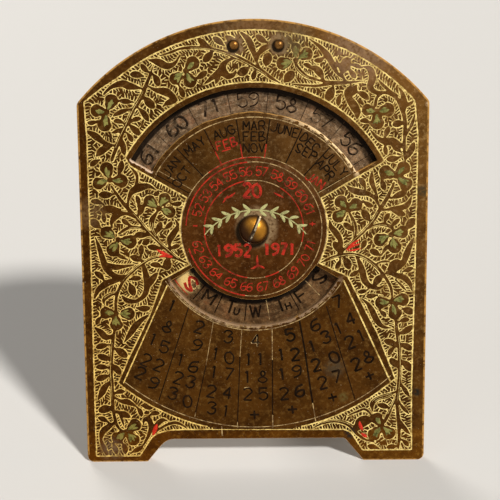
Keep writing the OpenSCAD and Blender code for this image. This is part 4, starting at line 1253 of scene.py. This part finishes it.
for name, marks, material in (
        ("disc_years", year_marks, worn_black), ("disc_pale_lines", pale_marks, worn_line),
        ("disc_weekdays", day_marks, black_fill), ("disc_sundays", sunday_marks, red_filling)):
    fill_strokes(name, marks, material, "tinned_brass", "disc", depth=DISC_FRONT)

# Pivot: a thin washer and a bush on the screw keep the disc free of the plate, a dished spring
# washer gives it drag, and a flat washer closes the bush; all are turned or punched brass and steel.
SLOT_TURN = math.radians(67)
BUSH_END, NUT_SEAT = 4.7, 5.5
turned_brass, tree, shader = new_material("turned_brass", Metallic=0.85)
place = face_place(tree)
axes = face_axes(tree, place)
metal = use_aged(tree, place, (0.10, 0.042, 0.006), (0.31, 0.135, 0.016), (0.66, 0.34, 0.055), 0.15, 1.0)
front = fade(tree, axes["Z"], -0.1, 0.05)
on_head = product(tree, front, fade(tree, apart_from(tree, place), 5.2, 4.9))
# Painted light and shade on the screw head: its dome is painted golden towards the upper right and dark
# towards the lower left.
toward_painted_light = slanting(tree, axes, 0.8, 0.6)
golden = tint(tree, fade(tree, toward_painted_light, -3.2, 2.2), (0.080, 0.024, 0.001), (0.50, 0.21, 0.016))
colour = wash(tree, metal["Colour"], golden, on_head, 0.7)
clean = tint(tree, patchy(tree, place, 0.35, 0.35, 0.65), (0.33, 0.21, 0.075), (0.50, 0.34, 0.135))
colour = wash(tree, colour, clean, fade(tree, axes["Z"], -1, -2.5), 0.75)
# The head is also darker round the foot of its dome.
colour = wash(tree, colour, (0.045, 0.019, 0.006), on_head, fade(tree, axes["Z"], 1.5, 0.3), 0.9)
for across, up in RIVETS:
    off_rivet = apart_from(tree, place, across, up, 0.4)
    near_rivet = product(tree, fade(tree, off_rivet, 2.2, 2.0), front)
    colour = tint(tree, near_rivet, colour, (0.60, 0.58, 0.8), "MULTIPLY")
    colour = wash(tree, colour, (0.05, 0.024, 0.009), fade(tree, off_rivet, 0.85, 1.4), near_rivet, 0.85)
# Painted shade on the lower left of the screw head.
colour = wash(tree, colour, (0.038, 0.013, 0.002), fade(tree, toward_painted_light, 0.9, -2.6), on_head, 0.95)
# Painted shade in the screw slot, with a painted highlight along one of its walls.
beside = slanting(tree, axes, math.sin(SLOT_TURN), -math.cos(SLOT_TURN))
slot = product(tree, beside_line(tree, beside, 0, 0.56, 0.46), on_head)
colour = tint(tree, slot, colour, (0.035, 0.018, 0.008))
colour = wash(tree, colour, (0.85, 0.70, 0.46), slot, fade(tree, beside, -0.05, 0.18),
              patchy(tree, place, 0.6, 0.40, 0.56))
dress(tree, shader, colour, product(tree, metal["Rough"], 0.75), metal["Height"], 0.00002)
sheet_brass, tree, shader = new_material("sheet_brass", Metallic=0.8)
place = face_place(tree)
metal = use_aged(tree, place, (0.24, 0.152, 0.058), (0.33, 0.215, 0.085), (0.43, 0.29, 0.12), 0.3, 0.9)
brushed = cloud(tree, stretched(tree, place, 90, 0.05, 3), 1, 4)
colour = wash(tree, metal["Colour"], (0.50, 0.35, 0.155), fade(tree, brushed, 0.42, 0.66), 0.5)
dress(tree, shader, colour, metal["Rough"], number(tree, "ADD", metal["Height"], brushed), 0.00003)
spring_steel, tree, shader = new_material("spring_steel", Metallic=0.9)
metal = use_aged(tree, face_place(tree), (0.16, 0.13, 0.11), (0.32, 0.31, 0.29), (0.50, 0.49, 0.47), 0.2, 1.0)
dress(tree, shader, metal["Colour"], metal["Rough"], metal["Height"], 0.00002)
finish_piece("thin_washer", turned(eased_ring(3.75, 9, PLATE_THICK, 2.9, 0.05)), sheet_brass,
             "sheet_brass", "face", "spacer_washer")
finish_piece("bush", turned(eased_ring(SCREW_HOLE, 3.65, PLATE_THICK, BUSH_END, 0.1), 64), turned_brass,
             "turned_brass", "face", "pivot_bush")
dished = [(3.75, -4.7), (7.42, -4.28), (7.5, -4.22), (7.5, -4.04), (7.44, -4.0), (3.75, -4.4)]
finish_piece("dished_washer", turned(dished), spring_steel, "spring_steel", "face", "spring_washer")
finish_piece("flat_washer", turned(eased_ring(SCREW_HOLE, 7, BUSH_END, NUT_SEAT, 0.12)), sheet_brass,
             "sheet_brass", "face", "back_washer")

# Centre screw: turned brass with a round slotted head, whose dome is worn bright and painted golden towards
# the upper right and dark towards the lower left as light and shade, and a cut thread on which a full nut and
# a thin lock nut hold the stack together.
SCREW_RADIUS, THREAD_ROOT, THREAD_PITCH = 2.35, 2.05, 0.5
HEAD_RADIUS, HEAD_HEIGHT = 4.15, 2.3


def dome_profile(radius, height, edge, count):
    """Points down a dome of this radius and height, from its top out to its edge."""
    ball = (radius ** 2 + height ** 2) / (2 * height)
    angles = np.linspace(0, math.asin(edge / ball), count)
    return [(ball * math.sin(a), height - ball + ball * math.cos(a)) for a in angles]


profile = dome_profile(HEAD_RADIUS, HEAD_HEIGHT, 4.05, 15)
profile += [(HEAD_RADIUS, 0.22), (HEAD_RADIUS, 0.06), (4.05, 0.0), (SCREW_RADIUS, 0.0), (SCREW_RADIUS, -5.0)]
for k in range(8):
    for radius, shift in ((SCREW_RADIUS, 0), (SCREW_RADIUS, 0.1), (THREAD_ROOT, 0.25), (THREAD_ROOT, 0.35)):
        height = -5.4 - THREAD_PITCH * k - shift
        if height > -9.3:
            profile.append((radius, height))
profile += [(2.3, -9.5), (1.9, -9.9), (0, -9.9)]
screw_mesh = turned(profile, 72, closed=False)
face_outwards(screw_mesh)
screw = add_object("screw_blank", screw_mesh)
bm = bmesh.new()
bmesh.ops.create_cube(bm, size=1, matrix=Matrix.Rotation(SLOT_TURN, 4, "Z") @ Matrix.Translation((0, 0, 2.1))
                      @ Matrix.Diagonal((12, 1.0, 2.0, 1)))
cutter = add_object("slot_saw", mesh_from(bm, "slot_saw"))
saw = screw.modifiers.new("slot", "BOOLEAN")
saw.operation = "DIFFERENCE"
saw.object = cutter
ease = screw.modifiers.new("ease", "BEVEL")
ease.width = 0.07
ease.segments = 2
ease.limit_method = "ANGLE"
ease.angle_limit = math.radians(50)
bpy.context.view_layer.update()
slotted = bpy.data.meshes.new_from_object(screw.evaluated_get(bpy.context.evaluated_depsgraph_get()))
bpy.data.objects.remove(screw)
bpy.data.objects.remove(cutter)
finish_piece("slotted_screw", slotted, turned_brass, "turned_brass", "face", "centre_screw", sharp=40)
NUT_ACROSS_FLATS = 8.2
LOCK_SEAT, LOCK_END = 7.7, 9.1
corner = NUT_ACROSS_FLATS / 2 / math.cos(math.radians(30))
hexagon = np.array([polar(corner, 60 * k) for k in range(6)])
for name, node, front, back in (
        ("full_nut", "centre_nut", NUT_SEAT, LOCK_SEAT), ("thin_nut", "lock_nut", LOCK_SEAT, LOCK_END)):
    nut_mesh = cut_sheet(name, [hexagon, arc_points(0, 0, SCREW_RADIUS, 0, 345, 0.5)], back - front, 0.16)
    nut_mesh.transform(Matrix.Translation((0, 0, -front)))
    finish_piece(name, nut_mesh, turned_brass, "turned_brass", "face", node)

# Hinge: two brass leaves with knuckles on a plain pin. The fixed leaf is riveted through the plate,
# so its two round rivet heads show on the face; the other leaf carries the strut.
HINGE_ACROSS, PIN_UP, PIN_DEPTH = 1.1, 46.5, 5.0
LEAF_THICK = 1.0
STRUT_OPENING = math.radians(24)
STRUT_RIVETS = ((-6, -8.4), (6, -8.4))
STRUT_LEAF_DEPTH = 1.2
STRUT_THICK = 1.2
ON_PIN = FACE @ Matrix.Translation((HINGE_ACROSS, PIN_UP, -PIN_DEPTH))
ON_STRUT = ON_PIN @ Matrix.Rotation(STRUT_OPENING, 4, "X")


def eased_leaf(name, node, body):
    """A copy of a hinge leaf's CAD node with its edges eased, standing for it."""
    bm = bmesh.new()
    bm.from_mesh(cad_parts[node].data)
    bmesh.ops.scale(bm, vec=(1000, 1000, 1000), verts=bm.verts)
    bmesh.ops.remove_doubles(bm, verts=bm.verts, dist=0.002)
    bmesh.ops.dissolve_limit(bm, angle_limit=math.radians(1), verts=bm.verts, edges=bm.edges)
    edges = [e for e in bm.edges if len(e.link_faces) == 2 and e.calc_face_angle() > math.radians(40)]
    bmesh.ops.bevel(bm, geom=edges, offset=0.12, segments=2, profile=0.5, affect="EDGES", material=-1,
                    clamp_overlap=True)
    finish_piece(name, mesh_from(bm, name), sheet_brass, "sheet_brass", body, node,
                 place=Matrix.Scale(0.001, 4))


def rivet_pair(name, node, grip, centres, height, place, body):
    """Two rivets with a dome at both ends, which hold sheets of this thickness together."""
    dome = dome_profile(1.4, 0.8, 1.38, 9)
    profile = dome + [(1.38, 0), (0.9, 0), (0.9, -grip), (1.38, -grip)]
    profile += [(radius, -grip - rise) for radius, rise in reversed(dome)]
    bm = bmesh.new()
    for x, v in centres:
        one = turned(profile, 40, closed=False)
        one.transform(Matrix.Translation((x, v, height)))
        bm.from_mesh(one)
    finish_piece(name, mesh_from(bm, name), turned_brass, "turned_brass", body, node, place=place)


eased_leaf("fixed_leaf", "hinge_leaf", "face")
rivet_pair("plate_rivets", "hinge_rivets", PLATE_THICK + LEAF_THICK, RIVETS, 0, FACE, "face")
pin_mesh = turned([(0, 11.4), (0.8, 11.4), (1, 11.2), (1, -11.2), (0.8, -11.4), (0, -11.4)], 40, closed=False)
pin_mesh.transform(Matrix.Rotation(math.pi / 2, 4, "Y"))
finish_piece("plain_pin", pin_mesh, turned_brass, "turned_brass", "face", "hinge_pin", place=ON_PIN)
eased_leaf("moving_leaf", "strut_leaf", "strut")
rivet_pair("leg_rivets", "strut_rivets", LEAF_THICK + STRUT_THICK, STRUT_RIVETS, -STRUT_LEAF_DEPTH, ON_STRUT,
           "strut")

# Easel strut: a tapered leg of 1.2 mm sheet brass, brushed along its length, with its foot filed
# flat to the table. It folds in towards the plate until it is just short of the lock nut.
leg = np.array([(-10, -2.5), (-7, -117.24), (7, -117.24), (10, -2.5)])
leg_holes = [arc_points(x, v, RIVET_HOLE, 0, 330, 0.4) for x, v in STRUT_RIVETS]
leg_mesh = cut_sheet("easel_leg", [leg, *leg_holes], STRUT_THICK, 0.15)
leg_mesh.transform(Matrix.Translation((0, 0, -STRUT_LEAF_DEPTH - LEAF_THICK)))
file_flat(leg_mesh, ON_STRUT)
finish_piece("easel_leg", leg_mesh, sheet_brass, "sheet_brass", "strut", "easel_strut", place=ON_STRUT)
